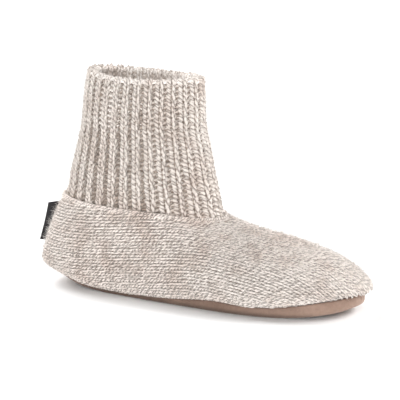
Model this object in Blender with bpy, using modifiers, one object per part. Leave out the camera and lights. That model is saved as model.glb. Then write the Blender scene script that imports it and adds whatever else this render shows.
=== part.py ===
"""Slipper sock: a knitted wool foot and a ribbed cuff on a soft padded sole.

The foot is one hollow knitted wall, open at its ankle seam and underneath, where the sole closes it.
The cuff is a double layer of one-by-one rib, folded over at the collar, and it stands on the ankle seam.
A thin sole turns up round the foot as a low band, with a raised heel edge and a little toe spring.
A fleece insole lies in it, and a blank woven tab is caught in the seam at the back of the heel.

Axes: +X from heel to toe, +Y to the wearer's left, +Z up. The floor is z = 0.
Every size below is in millimetres, measured from the back of the heel, and is turned into metres at the end.
"""

from collections import namedtuple
from math import pi

import bmesh
import bpy
import numpy as np

# ---------------------------------------------------------------- driving dimensions (millimetres)
MM = 0.001
LENGTH = 272.0            # heel back to toe tip
HEEL_WIDTH = 73.0
BALL_WIDTH = 95.0
COLLAR_HEIGHT = 163.8     # mean height of the folded collar
ANKLE_HEIGHT = 65.0       # mean height of the seam between cuff and foot
INSTEP_HEIGHT = 59.2      # height of that seam at the front
SIDE_HEIGHT = 18.0        # height at which the foot is widest

KNIT_WALL = 3.0           # brushed jersey of the foot
CUFF_WALL = 4.0           # two layers of rib
CLEARANCE = 0.3           # between pieces that touch

LABEL_REACH = 8.5         # how far the heel tab stands out behind the heel
ORIGIN_STATION = (LENGTH - LABEL_REACH) / 2   # the frame's origin is under the middle of the whole length

HEEL_CENTRE = HEEL_WIDTH / 2 + 0.5   # behind this station the foot is turned about an upright axis
OPENING_CENTRE = 85.75    # middle of the ankle seam
OPENING_LENGTH = 136.5
OPENING_WIDTH = 70.0
FRONT_OF_OPENING = OPENING_CENTRE + OPENING_LENGTH / 2
FULLNESS = 2.4            # exponents of the cross-sections' rounded shoulders
ROUNDNESS = 2.2
HEEL_FULLNESS = 1.6       # and those at the back of the heel, which is straighter
HEEL_ROUNDNESS = 1.3
HEEL_SWEEP = pi / 3       # angle over which the one passes into the other
TOE_FULLNESS = 1.8        # and those of the toe, which is more domed
TOE_ROUNDNESS = 1.7
TOE_START = 215.0         # station where the toe's section begins to take over
TOE_SWEEP = 45.0
LIP_STEP = 1.4            # the foot's top edge rolls in by this much
LIP_RISE = 0.6            # and stands above the ankle seam by this much
UNDER_TURN = pi / 3       # how far the knit turns under before it meets the sole

RIBS = 28
RIB_DEPTH = 1.5
RIM_FURROW = 0.7          # share of a furrow's depth that is left over the folded collar
LINING_FURROW = 0.4       # and down the inside
SAMPLES_PER_RIB = 4

AROUND = 76               # points round the foot, the sole and the insole
SIDE_ROWS = 11            # rows of points from the ankle seam down to the widest line
UNDER_ROWS = 4            # rows from there to the sole
CUFF_ROWS = 8
RIM_ROWS = 4
LINING_ROWS = 5

SOLE_FLOOR = 2.6          # thickness of the sole underfoot
SOLE_WALL = 3.2           # thickness of the band that it turns up
SOLE_ROLL = 1.3           # how far the band's lower edge rolls under
INSOLE_THICKNESS = 3.0
INSOLE_INSET = 5.2

LABEL_FOOT = 27.0         # height of its lower corner at the heel
LABEL_LENGTH = 30.0
LABEL_LEAN = 8.3          # its outer edge leans in with the heel by this much
LABEL_THICKNESS = 1.2
LABEL_GAP = 0.35          # along the station, a little more than the clearance square to the heel

# ---------------------------------------------------------------- tables, one row for each section
PlanRow = namedtuple("PlanRow", "station half_width")
OUTLINE = [
    PlanRow(0, 0),
    PlanRow(3.5, 15),
    PlanRow(14, 28),
    PlanRow(HEEL_CENTRE, HEEL_WIDTH / 2),
    PlanRow(80, 38.5),
    PlanRow(130, 43),
    PlanRow(180, BALL_WIDTH / 2),
    PlanRow(215, 45.5),
    PlanRow(244, 36.5),
    PlanRow(262, 23),
    PlanRow(270, 10),
    PlanRow(LENGTH, 0),
]

HeightRow = namedtuple("HeightRow", "station height")
INSTEP_LINE = [
    HeightRow(140, 63.5),
    HeightRow(FRONT_OF_OPENING, INSTEP_HEIGHT),
    HeightRow(164, 55.8),
    HeightRow(175, 53.2),
    HeightRow(200, 49.1),
    HeightRow(225, 43.7),
    HeightRow(245, 38.7),
    HeightRow(259, 31.6),
    HeightRow(267.5, 26.0),
    HeightRow(271.2, 22.3),
    HeightRow(LENGTH, 19.5),
]
ANKLE_SEAM = [
    HeightRow(13, ANKLE_HEIGHT + 3.3),
    HeightRow(25, ANKLE_HEIGHT + 2.1),
    HeightRow(45, ANKLE_HEIGHT + 0.8),
    HeightRow(75, ANKLE_HEIGHT),
    HeightRow(110, ANKLE_HEIGHT - 1),
    HeightRow(FRONT_OF_OPENING, INSTEP_HEIGHT),
]

# lift: underside above the floor; band: height of the turned-up side; tuck: how far in from the widest line
SoleRow = namedtuple("SoleRow", "station lift band tuck")
SOLE = [
    SoleRow(0, 9, 2.5, 15),
    SoleRow(12, 7, 2.5, 13.5),
    SoleRow(25, 5, 2.5, 11.5),
    SoleRow(38, 3.2, 2.3, 9.5),
    SoleRow(50, 1.6, 2, 7.8),
    SoleRow(62, 0.5, 2.1, 6.6),
    SoleRow(76, 0, 2.4, 5),
    SoleRow(110, 0, 3.4, 3.2),
    SoleRow(135, 0, 5.3, 2.8),
    SoleRow(165, 0, 8.2, 2.8),
    SoleRow(190, 0, 7.2, 3.2),
    SoleRow(208, 0, 7.4, 4.2),
    SoleRow(225, 0.5, 8.6, 5),
    SoleRow(245, 2.5, 10, 5),
    SoleRow(260, 5, 9.7, 5.5),
    SoleRow(LENGTH, 9, 8, 6),
]

# rise: share of the way up the cuff; furrow: depth of its furrows as a share of RIB_DEPTH
CuffRow = namedtuple("CuffRow", "rise centre half_length half_width furrow")
CUFF = [
    CuffRow(0.00, 85.9, 65.9, 33.2, 0.4),
    CuffRow(0.25, 85.6, 60.1, 32.6, 0.75),
    CuffRow(0.50, 86.3, 53.9, 32.0, 1.0),
    CuffRow(0.65, 86.1, 51.1, 31.5, 1.0),
    CuffRow(0.85, 86.85, 49.85, 30.6, 1.0),
    CuffRow(0.94, 87.6, 48.9, 30.2, 0.75),
    CuffRow(1.00, 88.1, 48.2, 30.0, 0.5),
]
COLLAR_TILT = 1.2         # the collar is higher behind, and lower in front, by this much
COLLAR_WAVE = 1.3         # and dips at its sides by this much
COLLAR_PINCH = 0.3        # how much narrower the collar is in front


# ---------------------------------------------------------------- smooth curves through the tables
def smooth(rows, column, samples=400):
    """Return stations and values of a centripetal Catmull-Rom curve through one column of a table."""
    knots = np.array([(row[0], getattr(row, column)) for row in rows], float)
    knots = np.vstack([2 * knots[0] - knots[1], knots, 2 * knots[-1] - knots[-2]])
    spans = np.sqrt(np.linalg.norm(np.diff(knots, axis=0), axis=1))
    times = np.concatenate([[0.0], np.cumsum(spans)])
    points = []
    for time in np.linspace(times[1], times[-2], samples):
        k = int(np.clip(np.searchsorted(times, time, side="right"), 2, len(times) - 2))
        a = between(knots[k - 2], knots[k - 1], times[k - 2], times[k - 1], time)
        b = between(knots[k - 1], knots[k], times[k - 1], times[k], time)
        c = between(knots[k], knots[k + 1], times[k], times[k + 1], time)
        ab = between(a, b, times[k - 2], times[k], time)
        bc = between(b, c, times[k - 1], times[k + 1], time)
        points.append(between(ab, bc, times[k - 1], times[k], time))
    points = np.array(points)
    return np.maximum.accumulate(points[:, 0]), points[:, 1]


def between(start, end, start_time, end_time, time):
    """Point on the straight line that passes start and end at their times."""
    share = (time - start_time) / (end_time - start_time)
    return start * (1 - share) + end * share


HALF_WIDTH = smooth(OUTLINE, "half_width", 900)
INSTEP = smooth(INSTEP_LINE, "height")
SEAM = smooth(ANKLE_SEAM, "height")
LIFT = smooth(SOLE, "lift")
BAND = smooth(SOLE, "band")
TUCK = smooth(SOLE, "tuck")
CUFF_CURVES = {column: smooth(CUFF, column) for column in CuffRow._fields[1:]}


def read(curve, station):
    """Value of a smooth curve at one or many stations."""
    return np.interp(station, curve[0], curve[1])


def sole_underside(station):
    return np.maximum(read(LIFT, station), 0.0)


def knit_edge_height(station):
    return sole_underside(station) + read(BAND, station)


# ---------------------------------------------------------------- the last: outline, opening and height
def ease(share):
    """A share held between 0 and 1 that sets off and arrives gently."""
    held = np.clip(share, 0, 1)
    return held ** 2 * (3 - 2 * held)


def shoulder(reach, heel=0.0, toe=0.0):
    """Height share of a section, 1 over its middle and 0 at its side, blended towards heel and toe."""
    heel, toe = ease(heel), ease(toe)
    fullness = FULLNESS + (HEEL_FULLNESS - FULLNESS) * heel + (TOE_FULLNESS - FULLNESS) * toe
    roundness = ROUNDNESS + (HEEL_ROUNDNESS - ROUNDNESS) * heel + (TOE_ROUNDNESS - ROUNDNESS) * toe
    return (1 - np.clip(reach, 0, 1) ** fullness) ** (1 / roundness)


def reach_of_opening(angle):
    """Distance from the heel's axis to the ankle seam, at an angle from straight back."""
    half_length, half_width = OPENING_LENGTH / 2, OPENING_WIDTH / 2
    step_x = -np.cos(angle) / half_length
    step_y = np.sin(angle) / half_width
    start = (HEEL_CENTRE - OPENING_CENTRE) / half_length
    a = step_x ** 2 + step_y ** 2
    b = 2 * start * step_x
    return (-b + np.sqrt(b * b - 4 * a * (start * start - 1))) / (2 * a)


def reach_of_heel(angle):
    """Distance from the heel's axis to the heel's outline, at an angle from straight back."""
    stations, widths = HALF_WIDTH
    heel = stations <= HEEL_CENTRE + 8
    angles = np.arctan2(widths[heel], HEEL_CENTRE - stations[heel])
    return np.interp(angle, angles, np.hypot(widths[heel], HEEL_CENTRE - stations[heel]))


def form_height(x, y):
    """Height of the foot's outer surface over a point of the plan, above its widest line."""
    y = np.abs(y)
    half = np.maximum(read(HALF_WIDTH, x), 1e-6)
    opening = np.clip(1 - ((x - OPENING_CENTRE) / (OPENING_LENGTH / 2)) ** 2, 0, 1) ** 0.5 * OPENING_WIDTH / 2
    crown = np.where(
        x < FRONT_OF_OPENING,
        (read(SEAM, x) - side_height(x)) / np.maximum(shoulder(opening / half), 0.05),
        read(INSTEP, x) - side_height(x),
    )
    forward = side_height(x) + crown * shoulder(y / half, toe=(x - TOE_START) / TOE_SWEEP)

    angle = np.arctan2(y, np.maximum(HEEL_CENTRE - x, 1e-9))
    heel, seam = reach_of_heel(angle), reach_of_opening(angle)
    seam_height = read(SEAM, HEEL_CENTRE - seam * np.cos(angle))
    back = (pi / 2 - angle) / HEEL_SWEEP
    crown = (seam_height - side_height(x)) / shoulder(seam / heel, back)
    turned = side_height(x) + crown * shoulder(np.hypot(HEEL_CENTRE - x, y) / heel, back)
    return np.where(x < HEEL_CENTRE, turned, forward)


def side_height(x):
    """Height of the widest line, which rises a little at the toe and at the back of the heel."""
    toe = np.clip((x - 200) / (LENGTH - 200), 0, 1)
    heel = np.clip(1 - x / 60, 0, 1)
    return SIDE_HEIGHT + 2.0 * toe ** 2 + heel


def widest_line():
    """Plan points round the foot, from the heel's back along the right side to the toe and back."""
    stations, widths = HALF_WIDTH
    walk = np.concatenate([[0], np.cumsum(np.hypot(np.diff(stations), np.diff(widths)))])
    share = np.linspace(0, 1, AROUND // 2 + 1)
    share = share - 0.07 * np.sin(2 * pi * share)      # closer together at heel and toe
    x = np.interp(share * walk[-1], walk, stations)
    y = np.interp(share * walk[-1], walk, widths)
    x[0], y[0], x[-1], y[-1] = 0.0, 0.0, LENGTH, 0.0
    return np.vstack([np.column_stack([x, -y]), np.column_stack([x, y])[-2:0:-1]])


def outward(line):
    """Unit plan vectors square to a closed line, pointing away from its inside."""
    along = np.roll(line, -1, axis=0) - np.roll(line, 1, axis=0)
    normal = np.column_stack([along[:, 1], -along[:, 0]])
    normal /= np.linalg.norm(normal, axis=1)[:, None]
    return -normal if np.sum(normal * (line - line.mean(axis=0))) < 0 else normal


def opening_line(points):
    """The ankle seam in plan, with one point for each point of the widest line."""
    share = np.linspace(0, 2 * pi, points, endpoint=False)
    angle = share + 0.18 * np.sin(share)
    x = OPENING_CENTRE - OPENING_LENGTH / 2 * np.cos(angle)
    y = -OPENING_WIDTH / 2 * np.sin(angle)
    return np.column_stack([x, y])


def at_height(plan, height):
    """Plan points with their heights, as one row of a loft."""
    return np.column_stack([plan, np.broadcast_to(height, len(plan))])


WIDEST = widest_line()
WIDEST_OUT = outward(WIDEST)


def knit_edge(extra=0.0):
    """Plan line where the knit meets the sole, moved outwards by extra."""
    return WIDEST - WIDEST_OUT * (read(TUCK, WIDEST[:, 0]) - extra)[:, None]


# ---------------------------------------------------------------- meshes
def loft(rows, joined_ends=False):
    """Mesh of closed rows of points, each joined to the next, with joined_ends the last to the first."""
    mesh = bmesh.new()
    loops = [[mesh.verts.new(shifted(point)) for point in row] for row in rows]
    count = len(loops[0])
    followers = loops[1:] + ([loops[0]] if joined_ends else [])
    for low, high in zip(loops, followers):
        for i in range(count):
            j = (i + 1) % count
            mesh.faces.new((low[i], low[j], high[j], high[i]))
    return mesh, loops


def shifted(point):
    """A point of the tables, in metres from the part's origin."""
    return ((point[0] - ORIGIN_STATION) * MM, point[1] * MM, point[2] * MM)


def add_ladder_cap(mesh, loop):
    """Close a symmetric row of points with rungs from its right side to its left."""
    count = len(loop)
    half = count // 2
    mesh.faces.new((loop[0], loop[1], loop[count - 1]))
    mesh.faces.new((loop[half - 1], loop[half], loop[half + 1]))
    for i in range(1, half - 1):
        mesh.faces.new((loop[i], loop[i + 1], loop[count - i - 1], loop[count - i]))


def finish(name, mesh, material):
    """Turn a bmesh into a named object of the slipper sock, with its faces pointing outwards."""
    bmesh.ops.recalc_face_normals(mesh, faces=mesh.faces)
    data = bpy.data.meshes.new(name)
    mesh.to_mesh(data)
    mesh.free()
    data.shade_smooth()
    data.set_sharp_from_angle(angle=pi / 4)
    data.materials.append(material)
    piece = bpy.data.objects.new(name, data)
    collection().objects.link(piece)
    return piece


def collection():
    """The collection that holds every piece."""
    name = "slipper_sock"
    if name not in bpy.data.collections:
        bpy.context.scene.collection.children.link(bpy.data.collections.new(name))
    return bpy.data.collections[name]


def plain_material(name, colour, roughness):
    """A Principled material of one colour."""
    material = bpy.data.materials.new(name)
    material.use_nodes = True
    shader = material.node_tree.nodes["Principled BSDF"]
    shader.inputs["Base Color"].default_value = (*colour, 1.0)
    shader.inputs["Roughness"].default_value = roughness
    shader.inputs["Metallic"].default_value = 0.0
    return material


# ---------------------------------------------------------------- the pieces
def make_foot():
    """The knitted foot: a loft from the ankle seam to the widest line and under to the sole's edge."""
    seam = opening_line(AROUND)
    lip = seam - outward(seam) * LIP_STEP
    rows = [at_height(lip, read(SEAM, seam[:, 0]) + LIP_RISE)]
    for share in np.sin(np.linspace(0, pi / 2, SIDE_ROWS)):
        plan = seam + (WIDEST - seam) * share
        height = form_height(plan[:, 0], plan[:, 1])
        rows.append(at_height(plan, side_height(plan[:, 0]) if share > 0.999 else height))
    drop = side_height(WIDEST[:, 0]) - knit_edge_height(WIDEST[:, 0])
    for turn in np.linspace(0, UNDER_TURN, UNDER_ROWS + 1)[1:]:
        inward = (1 - np.cos(turn)) / (1 - np.cos(UNDER_TURN))
        plan = WIDEST + (knit_edge() - WIDEST) * inward
        rows.append(at_height(plan, side_height(WIDEST[:, 0]) - drop * np.sin(turn) / np.sin(UNDER_TURN)))
    mesh, _ = loft(rows)
    foot = finish("foot", mesh, plain_material("wool_jersey", (0.57, 0.52, 0.47), 0.95))
    face_away_from_middle(foot)
    wall = foot.modifiers.new("wall", "SOLIDIFY")
    wall.thickness = KNIT_WALL * MM
    wall.offset = -1.0
    wall.use_rim = True
    return foot


def face_away_from_middle(piece):
    """Turn an open shell's faces so that they point away from the middle of the foot."""
    mesh = bmesh.new()
    mesh.from_mesh(piece.data)
    outward_share = sum(
        face.normal.y * face.calc_center_median().y * face.calc_area() for face in mesh.faces
    )
    if outward_share < 0:
        bmesh.ops.reverse_faces(mesh, faces=mesh.faces)
    mesh.to_mesh(piece.data)
    mesh.free()


def cuff_ring(rise, offset, furrow_share):
    """One row of the cuff: a ribbed oval at a share of its height, moved outwards by offset."""
    columns = {name: np.interp(rise, *curve) for name, curve in CUFF_CURVES.items()}
    fine = np.linspace(0, 2 * pi, 721)
    taper = 1 - COLLAR_PINCH * rise ** 2 * ((1 - np.cos(fine)) / 2) ** 1.5
    oval_x = columns["centre"] - columns["half_length"] * np.cos(fine)
    oval_y = -columns["half_width"] * np.sin(fine) * taper
    walk = np.concatenate([[0], np.cumsum(np.hypot(np.diff(oval_x), np.diff(oval_y)))])
    count = RIBS * SAMPLES_PER_RIB
    share = np.arange(count) / count
    at = share * walk[-1]
    plan = np.column_stack([np.interp(at, walk, oval_x), np.interp(at, walk, oval_y)])
    angle = np.interp(at, walk, fine)
    furrow = RIB_DEPTH * columns["furrow"] * furrow_share * (0.5 * np.cos(2 * pi * RIBS * share) - 0.5)
    return plan + outward(plan) * (offset + furrow)[:, None], angle


def cuff_height(rise, angle):
    """Height at a share of the cuff, between the wavy ankle seam and the collar."""
    lip = read(SEAM, OPENING_CENTRE - OPENING_LENGTH / 2 * np.cos(angle)) + LIP_RISE
    foot_of_cuff = lip + CLEARANCE
    collar = COLLAR_HEIGHT + COLLAR_TILT * np.cos(angle) + COLLAR_WAVE * np.cos(2 * angle)
    return foot_of_cuff + (collar - foot_of_cuff) * rise


def make_cuff():
    """The ribbed cuff: up its outside, over the folded collar, down its inside and closed underneath."""
    rows = []
    radius = CUFF_WALL / 2
    below_rim = 1 - radius / (COLLAR_HEIGHT - ANKLE_HEIGHT)
    for rise in np.linspace(0, below_rim, CUFF_ROWS):
        plan, angle = cuff_ring(rise, 0.0, 1.0)
        rows.append(at_height(plan, cuff_height(rise, angle)))
    for turn in np.linspace(0, pi, RIM_ROWS + 2)[1:-1]:
        plan, angle = cuff_ring(1.0, radius * (np.cos(turn) - 1), RIM_FURROW)
        rows.append(at_height(plan, cuff_height(below_rim, angle) + radius * np.sin(turn)))
    for rise in np.linspace(below_rim, 0, LINING_ROWS):
        plan, angle = cuff_ring(rise, -CUFF_WALL, LINING_FURROW)
        rows.append(at_height(plan, cuff_height(rise, angle)))
    mesh, _ = loft(rows, joined_ends=True)
    return finish("cuff", mesh, plain_material("wool_rib", (0.56, 0.50, 0.45), 0.95))


def make_sole():
    """The padded sole: a dished floor with a low band that turns up to meet the knit."""
    station = WIDEST[:, 0]
    under, edge = sole_underside(station), knit_edge_height(station) - CLEARANCE
    band = edge - under
    floor = under + np.minimum(SOLE_FLOOR, band)
    rows = [
        at_height(knit_edge(-SOLE_WALL - 0.5), floor),
        at_height(knit_edge(-SOLE_WALL), floor + 0.15 * (edge - floor)),
        at_height(knit_edge(-SOLE_WALL * 0.75), edge),
        at_height(knit_edge(-0.1), edge),
        at_height(knit_edge(0.5), under + 0.62 * band),
        at_height(knit_edge(0.2), under + 0.28 * band),
        at_height(knit_edge(-SOLE_ROLL), under),
    ]
    mesh, loops = loft(rows)
    add_ladder_cap(mesh, loops[0])
    add_ladder_cap(mesh, loops[-1])
    return finish("sole", mesh, plain_material("sueded_sole", (0.30, 0.21, 0.16), 0.85))


def make_insole():
    """The fleece insole: a thin pad that lies on the sole's floor, clear of the knit."""
    station = WIDEST[:, 0]
    under = sole_underside(station)
    band = knit_edge_height(station) - CLEARANCE - under
    base = under + np.minimum(SOLE_FLOOR, band) + CLEARANCE
    rows = [
        at_height(knit_edge(-INSOLE_INSET - 0.6), base),
        at_height(knit_edge(-INSOLE_INSET), base + 0.8),
        at_height(knit_edge(-INSOLE_INSET), base + INSOLE_THICKNESS - 0.8),
        at_height(knit_edge(-INSOLE_INSET - 1.0), base + INSOLE_THICKNESS),
    ]
    mesh, loops = loft(rows)
    add_ladder_cap(mesh, loops[0])
    add_ladder_cap(mesh, loops[-1])
    return finish("insole", mesh, plain_material("fleece", (0.62, 0.57, 0.52), 1.0))


def make_heel_label():
    """The blank woven tab: a thin plate whose front edge follows the back of the heel."""
    x = np.linspace(0, OPENING_CENTRE - OPENING_LENGTH / 2 - 0.5, 40)
    z = form_height(x, np.zeros_like(x))
    heights = np.linspace(LABEL_FOOT, LABEL_FOOT + LABEL_LENGTH, 7)
    heel_back = np.interp(heights, z, x) - LABEL_GAP
    outline = list(zip(heel_back, heights))
    outline += [
        (-LABEL_REACH + LABEL_LEAN, LABEL_FOOT + LABEL_LENGTH - 1.5),
        (-LABEL_REACH, LABEL_FOOT + 0.4),
        (-LABEL_REACH + 1.0, LABEL_FOOT - 0.4),
    ]
    mesh = bmesh.new()
    mesh.faces.new([mesh.verts.new(shifted((px, 0.0, pz))) for px, pz in outline])
    label = finish("heel_label", mesh, plain_material("woven_tab", (0.035, 0.028, 0.03), 0.8))
    sheet = label.modifiers.new("cloth", "SOLIDIFY")
    sheet.thickness = LABEL_THICKNESS * MM
    sheet.offset = 0.0
    return label


def main():
    """Clear the scene and make the five pieces."""
    for old in list(bpy.data.objects):
        bpy.data.objects.remove(old, do_unlink=True)
    make_foot()
    make_cuff()
    make_sole()
    make_insole()
    make_heel_label()


main()
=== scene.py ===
"""Looks of the slipper sock: its knit stitch by stitch, its suede sole, fleece insole and woven tab.

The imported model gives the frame, and every piece here is dressed round it. The shoemaker's lengths are
millimetres from the back of the heel (a station), across from the middle, and up from the floor. The
class Ground turns them into the frame's metres.
"""

import logging
from dataclasses import dataclass, field
from enum import Enum
from math import pi, radians

import bmesh
import bpy
import numpy as np
from mathutils import Matrix, Vector
from numpy.typing import NDArray


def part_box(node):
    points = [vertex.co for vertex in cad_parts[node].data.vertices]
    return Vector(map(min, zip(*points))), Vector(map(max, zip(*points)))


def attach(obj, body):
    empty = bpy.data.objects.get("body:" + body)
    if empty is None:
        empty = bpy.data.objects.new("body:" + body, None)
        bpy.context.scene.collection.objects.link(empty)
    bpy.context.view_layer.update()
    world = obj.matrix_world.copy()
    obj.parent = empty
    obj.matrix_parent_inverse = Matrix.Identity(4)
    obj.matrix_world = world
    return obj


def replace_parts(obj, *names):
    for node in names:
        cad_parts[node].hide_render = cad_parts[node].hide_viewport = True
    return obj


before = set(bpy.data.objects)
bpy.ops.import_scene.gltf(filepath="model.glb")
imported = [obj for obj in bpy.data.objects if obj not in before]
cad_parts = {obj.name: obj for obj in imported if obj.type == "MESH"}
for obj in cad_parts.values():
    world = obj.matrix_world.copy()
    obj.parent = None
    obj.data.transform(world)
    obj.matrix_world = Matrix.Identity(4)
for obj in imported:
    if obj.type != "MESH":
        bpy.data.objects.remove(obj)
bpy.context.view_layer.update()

Array = NDArray[np.float64]
Rows = tuple[tuple[float, ...], ...]
Faces = list[tuple[int, ...]]
Pair = tuple[float, float]
Triple = tuple[float, float, float]
Colour = tuple[float, float, float, float]
Piece, Material, Socket = bpy.types.Object, bpy.types.Material, bpy.types.NodeSocket

BODY = "root"
SEWN_GAP = 0.3                    # clearance of the knit's edge and the insole from the sole
FINE = 1440                       # points of a finely divided ring
WHITE: Colour = (1.0, 1.0, 1.0, 1.0)
LOG = logging.getLogger("slipper_sock")


# ---------------------------------------------------------------- sizes, curves and the last
@dataclass(frozen=True)
class Ground:
    """Turns millimetres from the back of the heel into the frame's metres."""
    last_length: float = 272.0

    def __post_init__(self) -> None:
        """Read the foot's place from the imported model."""
        low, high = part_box("foot")
        object.__setattr__(self, "scale", (high.x - low.x) / self.last_length)
        object.__setattr__(self, "heel", low.x)

    def place(self, points: Array) -> Array:
        """Points in millimetres from the heel as points of the frame in metres.

        Args:
            points: Points of any grid, the last axis being station, side and height.

        Returns:
            The same grid in metres.
        """
        moved = np.asarray(points, float) * self.scale
        moved[..., 0] += self.heel
        return moved


def smooth_curve(knots: Rows, samples: int = 500) -> Array:
    """Run a centripetal Catmull-Rom curve through a few knots.

    Args:
        knots: Rows of a station and one value, in order.
        samples: Number of points returned.

    Returns:
        Points of the curve, one row each, with stations that never fall back.
    """
    given = np.array(knots, float)
    given = np.vstack([2 * given[0] - given[1], given, 2 * given[-1] - given[-2]])
    spans = np.sqrt(np.linalg.norm(np.diff(given, axis=0), axis=1))
    times = np.concatenate([[0.0], np.cumsum(spans)])
    moments = np.linspace(times[1], times[-2], samples)
    k = np.clip(np.searchsorted(times, moments, side="right"), 2, len(times) - 2)

    def between(a: Array, b: Array, start: Array, end: Array) -> Array:
        """Straight line through a and b at their times."""
        share = ((moments - start) / (end - start))[:, None]
        return a * (1 - share) + b * share

    first = between(given[k - 2], given[k - 1], times[k - 2], times[k - 1])
    middle = between(given[k - 1], given[k], times[k - 1], times[k])
    last = between(given[k], given[k + 1], times[k], times[k + 1])
    early = between(first, middle, times[k - 2], times[k])
    late = between(middle, last, times[k - 1], times[k + 1])
    points = between(early, late, times[k - 1], times[k])
    points[:, 0] = np.maximum.accumulate(points[:, 0])
    return points


def ease(share: Array | float) -> Array:
    """A share held between 0 and 1 that sets off and arrives gently."""
    held = np.clip(share, 0, 1)
    return held ** 2 * (3 - 2 * held)


def unit(vectors: Array) -> Array:
    """Vectors of length one."""
    return vectors / np.maximum(np.linalg.norm(vectors, axis=-1, keepdims=True), 1e-12)


def walked(points: Array) -> Array:
    """Length of the way from the first point of a line to each of its points."""
    return np.concatenate([[0], np.cumsum(np.linalg.norm(np.diff(points, axis=0), axis=1))])


def read_table(table: Rows | Array, at: Array | float) -> Array:
    """Values of a table of stations and values, by straight interpolation."""
    stations, values = np.array(table, float).T
    return np.interp(at, stations, values)


def read_along(at: Array, walk: Array, values: Array) -> Array:
    """Rows of values at places along a way, by straight interpolation."""
    return np.column_stack([np.interp(at, walk, column) for column in values.T])


def grid_normals(points: Array, closed: bool = False) -> Array:
    """Unit normals of a grid of points.

    Args:
        points: Points by row and column.
        closed: Whether the columns run all the way round.

    Returns:
        One unit vector a point, square to both directions of the grid.
    """
    if closed:
        wide = np.concatenate([points[:, -1:], points, points[:, :1]], axis=1)
        across = np.gradient(wide, axis=1)[:, 1:-1]
    else:
        across = np.gradient(points, axis=1)
    return unit(np.cross(np.gradient(points, axis=0), across))


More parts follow.
